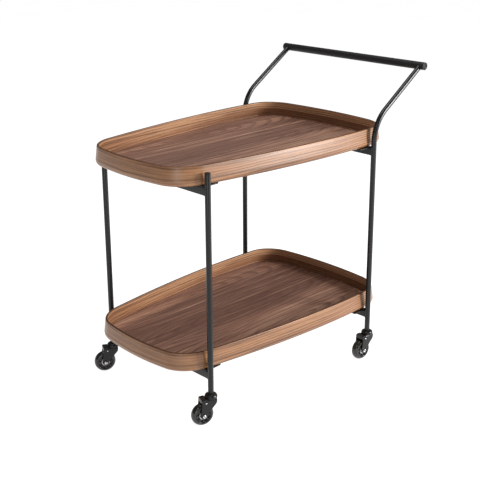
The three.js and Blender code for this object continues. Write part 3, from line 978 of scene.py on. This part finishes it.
@dataclass
class CartFrame:
    """Four tube legs, the sloping handle stretches, the bar and the crossbars under the trays."""

    tube: float = 0.0075
    bore: float = 0.006
    bend_radius: float = 0.1
    slope: float = math.radians(33.7)
    bar: float = 0.011
    bar_wall: float = 0.0015
    sides: int = 40
    member_half: float = 0.006
    member_tall: float = 0.02
    member_round: float = 0.0018
    tab: float = 0.003
    tab_reach: float = 0.046
    tab_near: float = 0.009
    tab_far: float = 0.043
    leg_stop: float = 0.004
    bar_weld: float = 0.0011
    member_weld: float = 0.0009

    def front_leg(self, side: str) -> None:
        """A straight tube with a soft plug in its top.

        Args:
            side: left or right.
        """
        low, high, middle = extent(f"front_leg_{side}")
        cap_low, cap_high, _ = extent(f"leg_cap_{side}")
        axis = (middle.x, middle.y, 0)
        r, b, top = self.tube, self.bore, cap_high.z
        outline = [(b, low.z), (r, low.z), (r, high.z), (b, high.z)]
        tube = lathe(outline, [0.0004, 0.0006, 0.0006, 0.0004], 4, self.sides)
        present(moved(tube, axis), f"front_leg_tube_{side}", "cart", Finish.STEEL, f"front_leg_{side}")
        plug = lathe(
            [(0, cap_low.z), (b - 0.0003, cap_low.z), (b - 0.0003, high.z + 0.0003), (r, high.z + 0.0003),
             (r, top - 0.0001), (0.0, top)],
            [0, 0.001, 0.0001, 0.0002, 0.0013, 0], 5, self.sides,
        )
        present(moved(plug, axis), f"leg_plug_{side}", "cart", Finish.PLASTIC, f"leg_cap_{side}")

    def handle_path(self, side: str) -> tuple[Array, Array]:
        """The axis of a handle leg: up, round an arc of the bend radius, then along the slope.

        Args:
            side: left or right.

        Returns:
            The points, and the direction's angle above level at each.
        """
        low, _, middle = extent(f"handle_leg_{side}")
        bar = extent("handle_bar")[2]
        x = low.x + self.tube
        turn = math.pi / 2 - self.slope
        bend_z = bar.z - (bar.x - x) * math.tan(self.slope) - self.bend_radius * math.tan(turn / 2)
        swept = spread(0, turn, 25)
        arc_x = x + self.bend_radius * (1 - np.cos(swept))
        arc_z = bend_z + self.bend_radius * np.sin(swept)
        rise = spread(low.z, bend_z, 14)[:-1]
        share = spread(0, 1, 10)[1:]
        end_x = bar.x - self.leg_stop * math.cos(self.slope)
        end_z = bar.z - self.leg_stop * math.sin(self.slope)
        run_x = arc_x[-1] + share * (end_x - arc_x[-1])
        run_z = arc_z[-1] + share * (end_z - arc_z[-1])
        xs = np.concatenate([np.full_like(rise, x), arc_x, run_x])
        zs = np.concatenate([rise, arc_z, run_z])
        angle = np.concatenate([
            np.full_like(rise, math.pi / 2), math.pi / 2 - swept, np.full_like(run_x, self.slope),
        ])
        return np.stack([xs, np.full_like(xs, middle.y), zs], axis=1), angle

    def handle_leg(self, side: str) -> None:
        """A bent tube, closed at its ends by its own wall, and the weld where it meets the bar.

        Args:
            side: left or right.
        """
        path, angle = self.handle_path(side)
        across = np.stack([-np.sin(angle), np.zeros_like(angle), np.cos(angle)], axis=1)
        sideways = np.broadcast_to([0.0, 1.0, 0.0], across.shape)
        outside = carried(path, across, sideways, circle(self.tube, self.sides))
        inside = carried(path, across, sideways, circle(self.bore, self.sides))[::-1]
        loop = np.concatenate([outside, inside, outside[:1]])
        present(loop, f"handle_leg_tube_{side}", "cart", Finish.STEEL, f"handle_leg_{side}")
        bar = extent("handle_bar")[2]
        centre = np.array([bar.x, path[0, 1], bar.z])
        turn = spread(0, TAU, 61)
        along = -np.sqrt(self.bar**2 - (self.tube * np.cos(turn)) ** 2)
        first = np.array([-math.sin(self.slope), 0, math.cos(self.slope)])
        ahead = np.array([math.cos(self.slope), 0, math.sin(self.slope)])
        ring = centre + self.tube * np.cos(turn)[:, None] * first + along[:, None] * ahead
        ring[:, 1] += self.tube * np.sin(turn)
        present(bead(ring, centre - ahead * 0.01, self.bar_weld), f"handle_weld_{side}", "cart", Finish.STEEL)

    def handle_bar(self) -> None:
        """The bar with soft ends, and a dished plug in each end."""
        low, high, middle = extent("handle_bar")
        half = (high.y - low.y) / 2
        r, b = self.bar, self.bar - self.bar_wall
        bar = lathe([(b, -half), (r, -half), (r, half), (b, half)], [0.0004, 0.0011, 0.0011, 0.0004], 5, 48)
        present(moved(to_y(bar), middle), "handle_grip_bar", "cart", Finish.GRIP, "handle_bar")
        face = half - 0.0004
        plug = to_y(lathe(
            [(0, face - 0.012), (b - 0.0002, face - 0.012), (b - 0.0002, face), (b - 0.0018, face),
             (b - 0.0026, face - 0.0014), (b - 0.0052, face - 0.0014), (b - 0.0058, face - 0.0008),
             (0, face - 0.0007)],
            [0, 0.001, 0.0005, 0.0005, 0.0005, 0.0003, 0.0003, 0], 4, 48,
        ))
        for side, sign in (("left", 1), ("right", -1)):
            present(moved(plug * [1, -sign, 1], middle), f"handle_end_plug_{side}", "cart", Finish.PLASTIC,
                    f"handle_plug_{side}")

    def crossbar(self, tray: str, end: str, sign: int) -> None:
        """A rectangular tube between two legs, its screw tabs and the welds at its ends.

        The tube is a rounded rectangle carried along Y. A tab is a rounded plate. Each weld follows
        the rectangle where it meets the leg: y = reach - sqrt(r^2 - x^2).

        Args:
            tray: which tray it holds.
            end: which pair of legs it joins.
            sign: the direction along X from the middle of the cart to it.
        """
        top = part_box(f"{tray}_{end}_crossbar")[1].z
        left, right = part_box(f"{end}_leg_left"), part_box(f"{end}_leg_right")
        reach = (left[1].y - right[0].y) / 2 - self.tube
        x = left[0].x + self.tube
        half, tall = self.member_half, self.member_tall / 2
        middle_z = top - self.tab - 0.0001 - tall
        ends = [reach - 0.0045, reach - 0.0045, reach - 0.02]
        ys = np.array([*(-y for y in ends), 0, *ends[::-1]])
        path = np.stack([np.full_like(ys, x), ys, np.full_like(ys, middle_z)], axis=1)
        outline = rectangle(half, tall, self.member_round, 5)
        grid = carried(path, np.tile([1.0, 0, 0], (7, 1)), np.tile([0, 0, 1.0], (7, 1)), outline)
        grid[0] = path[0]
        grid[-1] = path[-1]
        shell, welds = Shell().add(grid), Shell()
        ring = rectangle(half, tall, self.member_round, 9)
        for side in (-1, 1):
            near, far = x - sign * self.tab_reach, x + sign * half
            y0, y1 = side * (reach - self.tab_near), side * (reach - self.tab_far)
            corners = soften([(near, y0), (near, y1), (far, y1), (far, y0)], [0.006, 0.006, 0.002, 0.002])
            shell.add(self.plate(corners, top - self.tab, top))
            ys = side * (reach - np.sqrt(self.tube**2 - ring[:, 0] ** 2))
            points = np.stack([x + ring[:, 0], ys, middle_z + ring[:, 1]], axis=1)
            centre = np.array([x, side * (reach - self.tube), middle_z])
            welds.add(bead(points, centre, self.member_weld, 0.25, 20))
        fit(shell.build(f"{tray}_{end}_cross_member", 35), "cart", Finish.STEEL, f"{tray}_{end}_crossbar")
        fit(welds.build(f"{tray}_{end}_cross_welds"), "cart", Finish.STEEL)

    @staticmethod
    def plate(outline: Array, low: float, high: float) -> Array:
        """A flat plate with softened edges: the outline shrunk a little at its top and bottom.

        Args:
            outline: the plate's outline.
            low: the height of its bottom.
            high: the height of its top.

        Returns:
            Points on a grid.
        """
        middle = outline.mean(axis=0)
        ring = closed(outline)
        unit = (ring - middle) / np.linalg.norm(ring - middle, axis=1, keepdims=True)
        inset = np.array([0.0005, 0.0001, 0.0, 0.0, 0.0001, 0.0005])[:, None, None]
        level = np.array([low, low, low + 0.0002, low + 0.0005, high - 0.0005, high - 0.0002, high, high])
        hub = np.broadcast_to(middle, (1, *ring.shape))
        return lifted(np.concatenate([hub, ring - inset * unit, hub]), level)

    def screw(self, node: str) -> None:
        """A pan head with a cross recess: the dome's height less a smooth cross-shaped dip.

        Args:
            node: the CAD screw.
        """
        low, high, middle = extent(node)
        r, shank, head = 0.00425, 0.002, 0.0026
        slot_half, slot_depth = 0.00055, 0.0013
        seat = low.z + head
        radius = np.concatenate([spread(0, r * 0.62, 14), spread(r * 0.62, r, 10)[1:]])
        x, y = polar(radius, spread(0, TAU, 65))
        arms = ramp(slot_half - np.minimum(np.abs(x), np.abs(y)), 0.0002)
        dip = slot_depth * (arms * ramp(r * 0.55 - radius, 0.0004)[:, None])
        top = np.stack([x, y, seat - domed(radius, r, head, 4)[:, None] + dip], axis=2)
        body = turned(np.array([(r, seat), (shank, seat), (shank, high.z - 0.001), (0, high.z)]), 64)
        grid = moved(np.concatenate([top, body]), (middle.x, middle.y, 0))
        present(grid, node.replace("_screw_", "_tray_screw_"), "cart", Finish.BRIGHT, node, sharp=32)

    def build(self) -> None:
        """Builds and dresses the frame."""
        for side in SIDES:
            self.front_leg(side)
            self.handle_leg(side)
        self.handle_bar()
        for tray in TRAYS:
            for end, sign in (("front", -1), ("handle", 1)):
                self.crossbar(tray, end, sign)
                for side in SIDES:
                    self.screw(f"{tray}_screw_{end}_{side}")


# ------------------------------------------------------------------ casters


@dataclass
class Caster:
    """A swivel caster: stem and dome on the leg, fork on the swivel, wheel on the axle."""

    name: str
    wheel: float = 0.03
    crown: float = 0.071
    fork_in: float = 0.0124
    plate: float = 0.0023
    foot: float = 0.0085
    hood_back: float = 0.0295
    head: float = 0.0052
    fold: float = 0.0045
    tyre_half: float = 0.0115
    tyre_bore: float = 0.0192
    hub_half: float = 0.01
    hub_outer: float = 0.0188
    hub_seat: float = 0.0113
    hub_dip: float = 0.0034
    spokes: int = 8
    cover: float = 0.0165
    stem_radius: float = 0.005
    pin_head: float = 0.0065
    sleeve_rim: float = 0.0075
    sleeve_outer: float = 0.0057
    sleeve_bore: float = 0.00515
    hood_half: float = 0.0144
    rivet: float = 0.0019
    shank: float = 0.004
    nut_half: float = 0.0047
    key_half: float = 0.0019

    def __post_init__(self) -> None:
        """Reads where the swivel axis and the axle are from the cart's joints."""
        joints = {j["name"]: j for j in frame["joints"]}
        swivel = Vector(joints[f"swivel_{self.name}"]["pos_m"])
        axle = Vector(joints[f"roll_{self.name}"]["pos_m"])
        offset = axle - swivel
        self.spot = (swivel.x, swivel.y, 0.0)
        self.angle = math.atan2(offset.y, offset.x)
        self.trail = math.hypot(offset.x, offset.y)
        self.axle = (axle.x, axle.y, axle.z)

    def stem(self) -> None:
        """The sleeve, the stem with its domed, grooved cover, and the pin's rivet head: turned pieces."""
        low, high, _ = extent(f"caster_stem_{self.name}")
        sleeve_low, sleeve_high, _ = extent(f"leg_insert_{self.name}")
        foot, top, r, stem = self.crown + 0.0033, sleeve_low.z - 0.0003, self.cover, self.stem_radius
        cover = lathe(
            [(0, foot), (r, foot), (r, foot + 0.003), (r - 0.0007, foot + 0.0036),
             (r - 0.0003, foot + 0.0043), (r - 0.002, top - 0.0022), (r - 0.008, top), (stem, top),
             (stem, high.z), (0, high.z)],
            [0, 0.0006, 0.0005, 0.0004, 0.0005, 0.0035, 0.0012, 0, 0.0012, 0], 5, 48,
        )
        pin, under = self.pin_head, self.crown - 0.0003
        rivet = lathe(
            [(0, low.z), (pin - 0.002, low.z), (pin, low.z + 0.0018), (pin, under), (0, under)],
            [0, 0.001, 0.001, 0.0002, 0], 5, 48,
        )
        shell = Shell().add(moved(cover, self.spot)).add(moved(rivet, self.spot))
        fit(shell.build(f"stem_and_cover_{self.name}"), "cart", Finish.STEEL, f"caster_stem_{self.name}")
        bottom, lip, end = sleeve_low.z, sleeve_low.z + 0.0015, sleeve_high.z
        bore, outer, rim = self.sleeve_bore, self.sleeve_outer, self.sleeve_rim
        sleeve = lathe(
            [(bore, bottom), (rim, bottom), (rim, lip), (outer, lip), (outer, end), (bore, end)],
            [0.0002, 0.0004, 0.0004, 0.0001, 0.0002, 0.0002], 4, 40,
        )
        present(moved(sleeve, self.spot), f"leg_sleeve_{self.name}", "cart", Finish.PLASTIC,
                f"leg_insert_{self.name}")

    def strip_line(self) -> tuple[Array, Array]:
        """The middle line of the fork's strip: up one side, over the crown and down the other.

        Returns:
            Its places across the fork and its heights.
        """
        top, side = self.strip_top, self.fork_in + self.plate / 2
        quarter, sweep = spread(0, math.pi / 2, 12), spread(0, math.pi / 2, 8)
        tip = self.wheel - self.foot
        straight = spread(self.wheel, top - self.fold, 16)[1:]
        rise = np.concatenate([tip + self.foot * (1 - np.cos(quarter)), straight])
        y_up = np.concatenate([np.full_like(rise, side), side - self.fold * (1 - np.cos(sweep))[1:],
                               spread(side - self.fold, 0, 8)[1:]])
        z_up = np.concatenate([rise, top - self.fold + self.fold * np.sin(sweep)[1:], np.full(7, top)])
        return np.concatenate([y_up, -y_up[-2::-1]]), np.concatenate([z_up, z_up[-2::-1]])

    @property
    def strip_top(self) -> float:
        """The height of the strip's middle at the crown."""
        return self.crown + 0.003 - self.plate / 2

    def strip(self) -> Array:
        """The fork's strip, folded over the wheel.

        Its front and back edges, measured along the trail, follow the height z: below the axle they
        keep to a circle, w = sqrt(foot^2 - (z_axle - z)^2); above it they run straight to the crown
        and the hood. The section is a rounded rectangle, thinned to nothing at the two tips.

        Returns:
            Points on a grid.
        """
        ys, zs = self.strip_line()
        toe, heel = self.trail - self.foot, self.trail + self.foot
        levels = [self.wheel - 0.001, self.wheel + 0.003, self.crown - 0.011, self.crown - 0.006,
                  self.strip_top]
        front = np.interp(zs, levels, [toe, toe - 0.0012, -0.0098, -0.0113, -0.0115])
        back = np.interp(zs, levels, [heel, heel - 0.0003, self.hood_back + 0.0003, self.hood_back,
                                      self.hood_back])
        below = np.clip(self.wheel - zs, 0, self.foot)
        half = (back - front) / 2 * np.sqrt(np.clip(1 - (below / self.foot) ** 2, 0, 1))
        ahead = np.gradient(np.stack([ys, zs], axis=1), axis=0)
        ahead /= np.linalg.norm(ahead, axis=1, keepdims=True)
        ring = rectangle(1, 1, 0.35, 5)
        ends = np.sign(ring[:, 0])
        edge = ends * (1 - np.abs(ring[:, 0])) * self.plate * 1.4 * (half[:, None] > 1e-5)
        along = ((front + back) / 2)[:, None] + ends * half[:, None] - edge
        lift = ring[:, 1] * self.plate / 2 * ramp(half, 0.002)[:, None]
        return np.stack([along, ys[:, None] - ahead[:, 1:] * lift, zs[:, None] + ahead[:, :1] * lift], axis=2)

    def fork(self) -> None:
        """The stamped fork: its strip, its rear hood and the raised ring on its crown."""
        shell = Shell().add(moved(self.strip(), self.spot, self.angle))
        shell.add(moved(self.hood(), self.spot, self.angle))
        low, high = self.crown + 0.0002, self.crown + 0.0031
        outline = [(0.0045, low), (0.0152, low), (0.0155, high), (0.0045, high)]
        raised = lathe(outline, [0.0003, 0.0008, 0.0009, 0.0003], 5, 48)
        shell.add(moved(raised, self.spot))
        fit(shell.build(f"stamped_fork_{self.name}", 38), f"swivel_{self.name}", Finish.STEEL,
            f"fork_{self.name}")

    def hood(self) -> Array:
        """The rear hood: a wall folded down from the crown's back edge, behind the wheel.

        Returns:
            Points on a grid.
        """
        top, back = self.crown + 0.0028, self.hood_back + 0.0003
        spine = soften(
            [(0.016, top), (back, top), (back, top - 0.0108), (back - 0.0024, top - 0.0108),
             (back - 0.0026, top - 0.0026), (0.016, top - 0.0024)],
            [0, 0.0035, 0.001, 0.001, 0.002, 0],
        )
        middle = spine.mean(axis=0)
        edge = self.hood_half - np.array([0.0, 0.0, 0.0005, 0.0018])
        width = np.concatenate([-edge, edge[::-1]])
        scale = np.array([0.0, 0.86, 0.97, 1.0, 1.0, 0.97, 0.86, 0.0])[:, None, None]
        grid = lifted(middle + scale * (closed(spine) - middle)[None], width)
        return grid[..., [0, 2, 1]]

    def rivets(self) -> None:
        """Two bright rivet heads, one on each cheek beside the hood."""
        shell = Shell()
        outline = [(0, 0.0), (self.rivet, 0.0), (self.rivet, 0.0005), (0.0, 0.0013)]
        head = to_y(lathe(outline, [0, 0, 0.0007, 0], 5, 24))
        for side in (-1, 1):
            place = np.array([0.0185, side * (self.fork_in + self.plate - 0.0002), self.crown - 0.0065])
            shell.add(moved(head * [1, -side, 1] + place, self.spot, self.angle))
        fit(shell.build(f"fork_rivets_{self.name}"), f"swivel_{self.name}", Finish.BRIGHT)

    def bolt(self) -> None:
        """The axle: a button head with a hexagon recess, the shank and a lock nut.

        The recess is a hexagon: depth falls smoothly where max over three directions of |p . n| is
        under the key's half width. The nut's radius is h / cos(((a + 30) mod 60) - 30).
        """
        seat = self.fork_in + self.plate + 0.0003
        tip = seat + 0.0052
        radius = np.concatenate([spread(0, 0.0031, 16), spread(0.0031, self.head, 14)[1:]])
        angle = spread(0, TAU, 73)
        x, y = polar(radius, angle)
        facing = np.array([0, math.pi / 3, 2 * math.pi / 3])[:, None, None]
        key = np.abs(x * np.cos(facing) + y * np.sin(facing)).max(axis=0)
        dome = domed(radius, self.head + 0.00005, 0.0044, 3.2)[:, None]
        recess = 0.0018 * ramp(self.key_half - key, 0.0003)
        head = np.stack([x, y, recess - (seat + 0.0006 + dome)], axis=2)
        shank, end = self.shank, self.shank - 0.0002
        nut = self.nut_half / np.cos((angle + math.pi / 6) % (math.pi / 3) - math.pi / 6)
        washer = np.minimum(nut, 0.0053)
        sizes = [self.head, shank, shank, washer, nut, nut, washer * 0.84, shank + 0.0001, end, end,
                 end - 0.0004, 0]
        heights = [-seat, -seat, seat, seat, seat + 0.0004, seat + 0.0032, seat + 0.0042, seat + 0.0045,
                   seat + 0.0042, tip - 0.0005, tip, tip]
        radii = np.stack([np.broadcast_to(size, angle.shape) for size in sizes])
        body = lifted(np.stack([radii * np.cos(angle), radii * np.sin(angle)], axis=2), np.array(heights))
        grid = moved(to_y(np.concatenate([head, body])), self.axle, self.angle)
        present(grid, f"axle_{self.name}", f"swivel_{self.name}", Finish.BRIGHT, f"axle_bolt_{self.name}",
                sharp=32)

    def tyre(self) -> None:
        """The tyre: a turned section with a rounded tread, side faces and shallow moulding rings."""
        half, bore = self.tyre_half, self.tyre_bore
        turn = spread(-math.pi / 2, math.pi / 2, 21)
        tread = np.stack([self.wheel - half * (1 - np.cos(turn)) * 0.78, half * np.sin(turn)], axis=1)
        left = np.array(
            [(bore, -half + 0.0022), (bore + 0.0008, -half + 0.0014), (bore + 0.0012, -half + 0.0006)]
        )
        section = closed(np.concatenate([left, tread, (left * [1, -1])[::-1]]))
        grid = moved(to_y(turned(section, 96)), self.axle, self.angle)
        present(grid, f"wheel_tyre_{self.name}", f"wheel_{self.name}", Finish.TYRE, f"tyre_{self.name}",
                sharp=50)

    def hub(self) -> None:
        """The core: a disc whose faces dip between its spokes.

        On each face the height is h - depth * window(r) * gap(a), where window is 1 between the hub
        ring and the rim and gap is 1 between spokes; both edges are straight ramps.
        """
        outer, seat, half = self.hub_outer, self.hub_seat, self.hub_half
        radius, angle = spread(seat, outer, 22), spread(0, TAU, 129)
        window = ramp(radius - seat - 0.0012, 0.0006) * ramp(outer - 0.0012 - radius, 0.0006)
        gap = ramp(0.78 - (1 + np.cos(self.spokes * angle)) / 2, 0.2)
        dip = self.hub_dip * window[:, None] * gap[None]
        x, y = polar(radius, angle)
        upper = np.stack([x, y, half - dip], axis=2)
        lower = np.stack([x, y, -half + dip], axis=2)[::-1]
        shoulder = half - 0.0073
        steps = [(seat, half), (seat, shoulder), (0.008, shoulder)]
        bore = turned(np.array([*((r, -z) for r, z in steps), *steps[::-1]]), 128)
        grid = moved(to_y(np.concatenate([upper, lower, bore])), self.axle, self.angle)
        present(grid, f"wheel_core_{self.name}", f"wheel_{self.name}", Finish.HUB, f"hub_{self.name}",
                sharp=34)

    def bearing(self, name: str, sign: int) -> None:
        """One bearing: outer race, sunk shield and inner race as one turned section.

        Args:
            name: the bearing's name, for the piece and its CAD node.
            sign: the side of the wheel it is on.
        """
        face, back = self.hub_half, 0.003
        outline = soften(
            [(0.0043, back), (0.011, back), (0.011, face), (0.0094, face), (0.0092, face - 0.0006),
             (0.0063, face - 0.0006), (0.0061, face), (0.0043, face)],
            [0.0003, 0.0003, 0.0005, 0.0002, 0.0001, 0.0001, 0.0002, 0.0004], 3,
        )
        grid = moved(to_y(turned(closed(outline) * [1, -sign], 64)), self.axle, self.angle)
        present(grid, f"ball_{name}_{self.name}", f"wheel_{self.name}", Finish.BRIGHT, f"{name}_{self.name}")

    def build(self) -> None:
        """Builds and dresses the caster."""
        self.stem()
        self.fork()
        self.rivets()
        self.bolt()
        self.tyre()
        self.hub()
        self.bearing("bearing_outer", 1)
        self.bearing("bearing_inner", -1)


# ------------------------------------------------------------------ studio


@dataclass(frozen=True)
class Softbox:
    """A rectangular area light, aimed at a point."""

    name: str
    place: Point
    aim: Point
    wide: float
    tall: float
    power: float

    def make(self) -> None:
        """Adds the light."""
        data = bpy.data.lights.new(self.name, "AREA")
        data.shape = "RECTANGLE"
        data.size, data.size_y = self.wide, self.tall
        data.energy = self.power
        lamp = bpy.data.objects.new(self.name, data)
        lamp.location = self.place
        lamp.rotation_euler = (Vector(self.aim) - Vector(self.place)).to_track_quat("-Z", "Y").to_euler()
        bpy.context.scene.collection.objects.link(lamp)


@dataclass
class Studio:
    """The pale floor, the white surround, the softboxes and the camera."""

    leg_middle: float
    surround: float = 0.18
    floor_glow: float = 0.935
    floor_half: float = 14.0
    eye: Point = (-1.7372, -1.8097, 1.2886)
    yaw: float = 45.252
    pitch: float = 17.236
    roll: float = -0.112
    focal_share: float = 952.19 / 480
    shift: tuple[float, float] = (-0.02, -0.1)

    def floor(self) -> None:
        """A wide pale floor with a faint mottle."""
        made, g, shader = blank_material("pale studio floor")
        cloud = g.noise(g.node("ShaderNodeTexCoord").outputs["Object"], 3.0, 3.0)
        g.filled(shader, {
            "Base Color": g.blend(cloud, (0.33, 0.33, 0.33, 1), (0.36, 0.36, 0.36, 1)),
            "Emission Color": g.blend(cloud, (0.97, 0.97, 0.97, 1), (1.0, 1.0, 1.0, 1)),
            "Emission Strength": self.floor_glow, "Roughness": 0.9,
        })
        half = self.floor_half
        corners = np.array(
            [[(-half, -half, 0), (half, -half, 0)], [(-half, half, 0), (half, half, 0)]], float
        )
        plane = Shell().add(corners).build("studio_floor")
        plane.data.materials.append(made)

    def lights(self) -> None:
        """The surround, white behind the cart but dim as a light, and the softboxes."""
        world = bpy.data.worlds.new("surround")
        world.use_nodes = True
        background = world.node_tree.nodes["Background"]
        background.inputs[0].default_value = (1, 1, 1, 1)
        g = Graph(world.node_tree)
        seen = g.node("ShaderNodeLightPath").outputs["Is Camera Ray"]
        g.feed(background.inputs[1], g.between(seen, self.surround, 1.0))
        bpy.context.scene.world = world
        for light in (
            Softbox("key", (1.7, -2.75, 1.35), (0.0, 0.0, 0.45), 0.9, 1.3, 172.0),
            Softbox("strip", (-2.8, -1.9, 0.6), (0.0, 0.0, 0.5), 1.0, 1.3, 15.0),
            Softbox("spark", (-2.3, -1.2, 2.3), (0.0, 0.0, 0.1), 0.6, 0.6, 7.0),
            Softbox("top", (0.0, 0.3, 3.4), (0.0, 0.0, 0.3), 1.8, 1.8, 44.0),
        ):
            light.make()

    def camera(self) -> None:
        """The camera, from its place and its yaw, pitch and roll in degrees."""
        data = bpy.data.cameras.new("camera")
        data.lens = data.sensor_width * self.focal_share
        data.shift_x, data.shift_y = self.shift
        data.clip_end = 60.0
        yaw, pitch, roll = (math.radians(v) for v in (self.yaw, self.pitch, self.roll))
        forward = Vector((math.cos(pitch) * math.cos(yaw), math.cos(pitch) * math.sin(yaw), -math.sin(pitch)))
        right = Vector((math.sin(yaw), -math.cos(yaw), 0.0))
        upward = right.cross(forward)
        turned_right = math.cos(roll) * right + math.sin(roll) * upward
        turned_up = -math.sin(roll) * right + math.cos(roll) * upward
        camera = bpy.data.objects.new("camera", data)
        matrix = np.eye(4)
        matrix[:3, :3] = np.array([turned_right, turned_up, -forward]).T
        matrix[:3, 3] = np.array(self.eye) + [self.leg_middle, 0, 0]
        bpy.context.scene.collection.objects.link(camera)
        camera.matrix_world = Matrix(matrix.tolist())
        bpy.context.scene.camera = camera

    def build(self) -> None:
        """Builds the studio."""
        self.floor()
        self.lights()
        self.camera()
        bpy.context.scene.view_settings.view_transform = "Standard"


def main() -> None:
    """Builds the cart in order: finishes, trays, frame, casters, studio."""
    FINISHES.update(make_finishes())
    middle = extent("upper_tray_wall")[2].x
    for name in TRAYS:
        Tray(name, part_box(f"{name}_tray_wall")[0].z, TrayPlan(middle)).build()
    CartFrame().build()
    for corner in ("front_left", "front_right", "handle_left", "handle_right"):
        Caster(corner).build()
    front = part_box("front_leg_left")[0].x + CartFrame.tube
    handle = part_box("handle_leg_left")[0].x + CartFrame.tube
    Studio((front + handle) / 2).build()


if __name__ == "__main__":
    main()
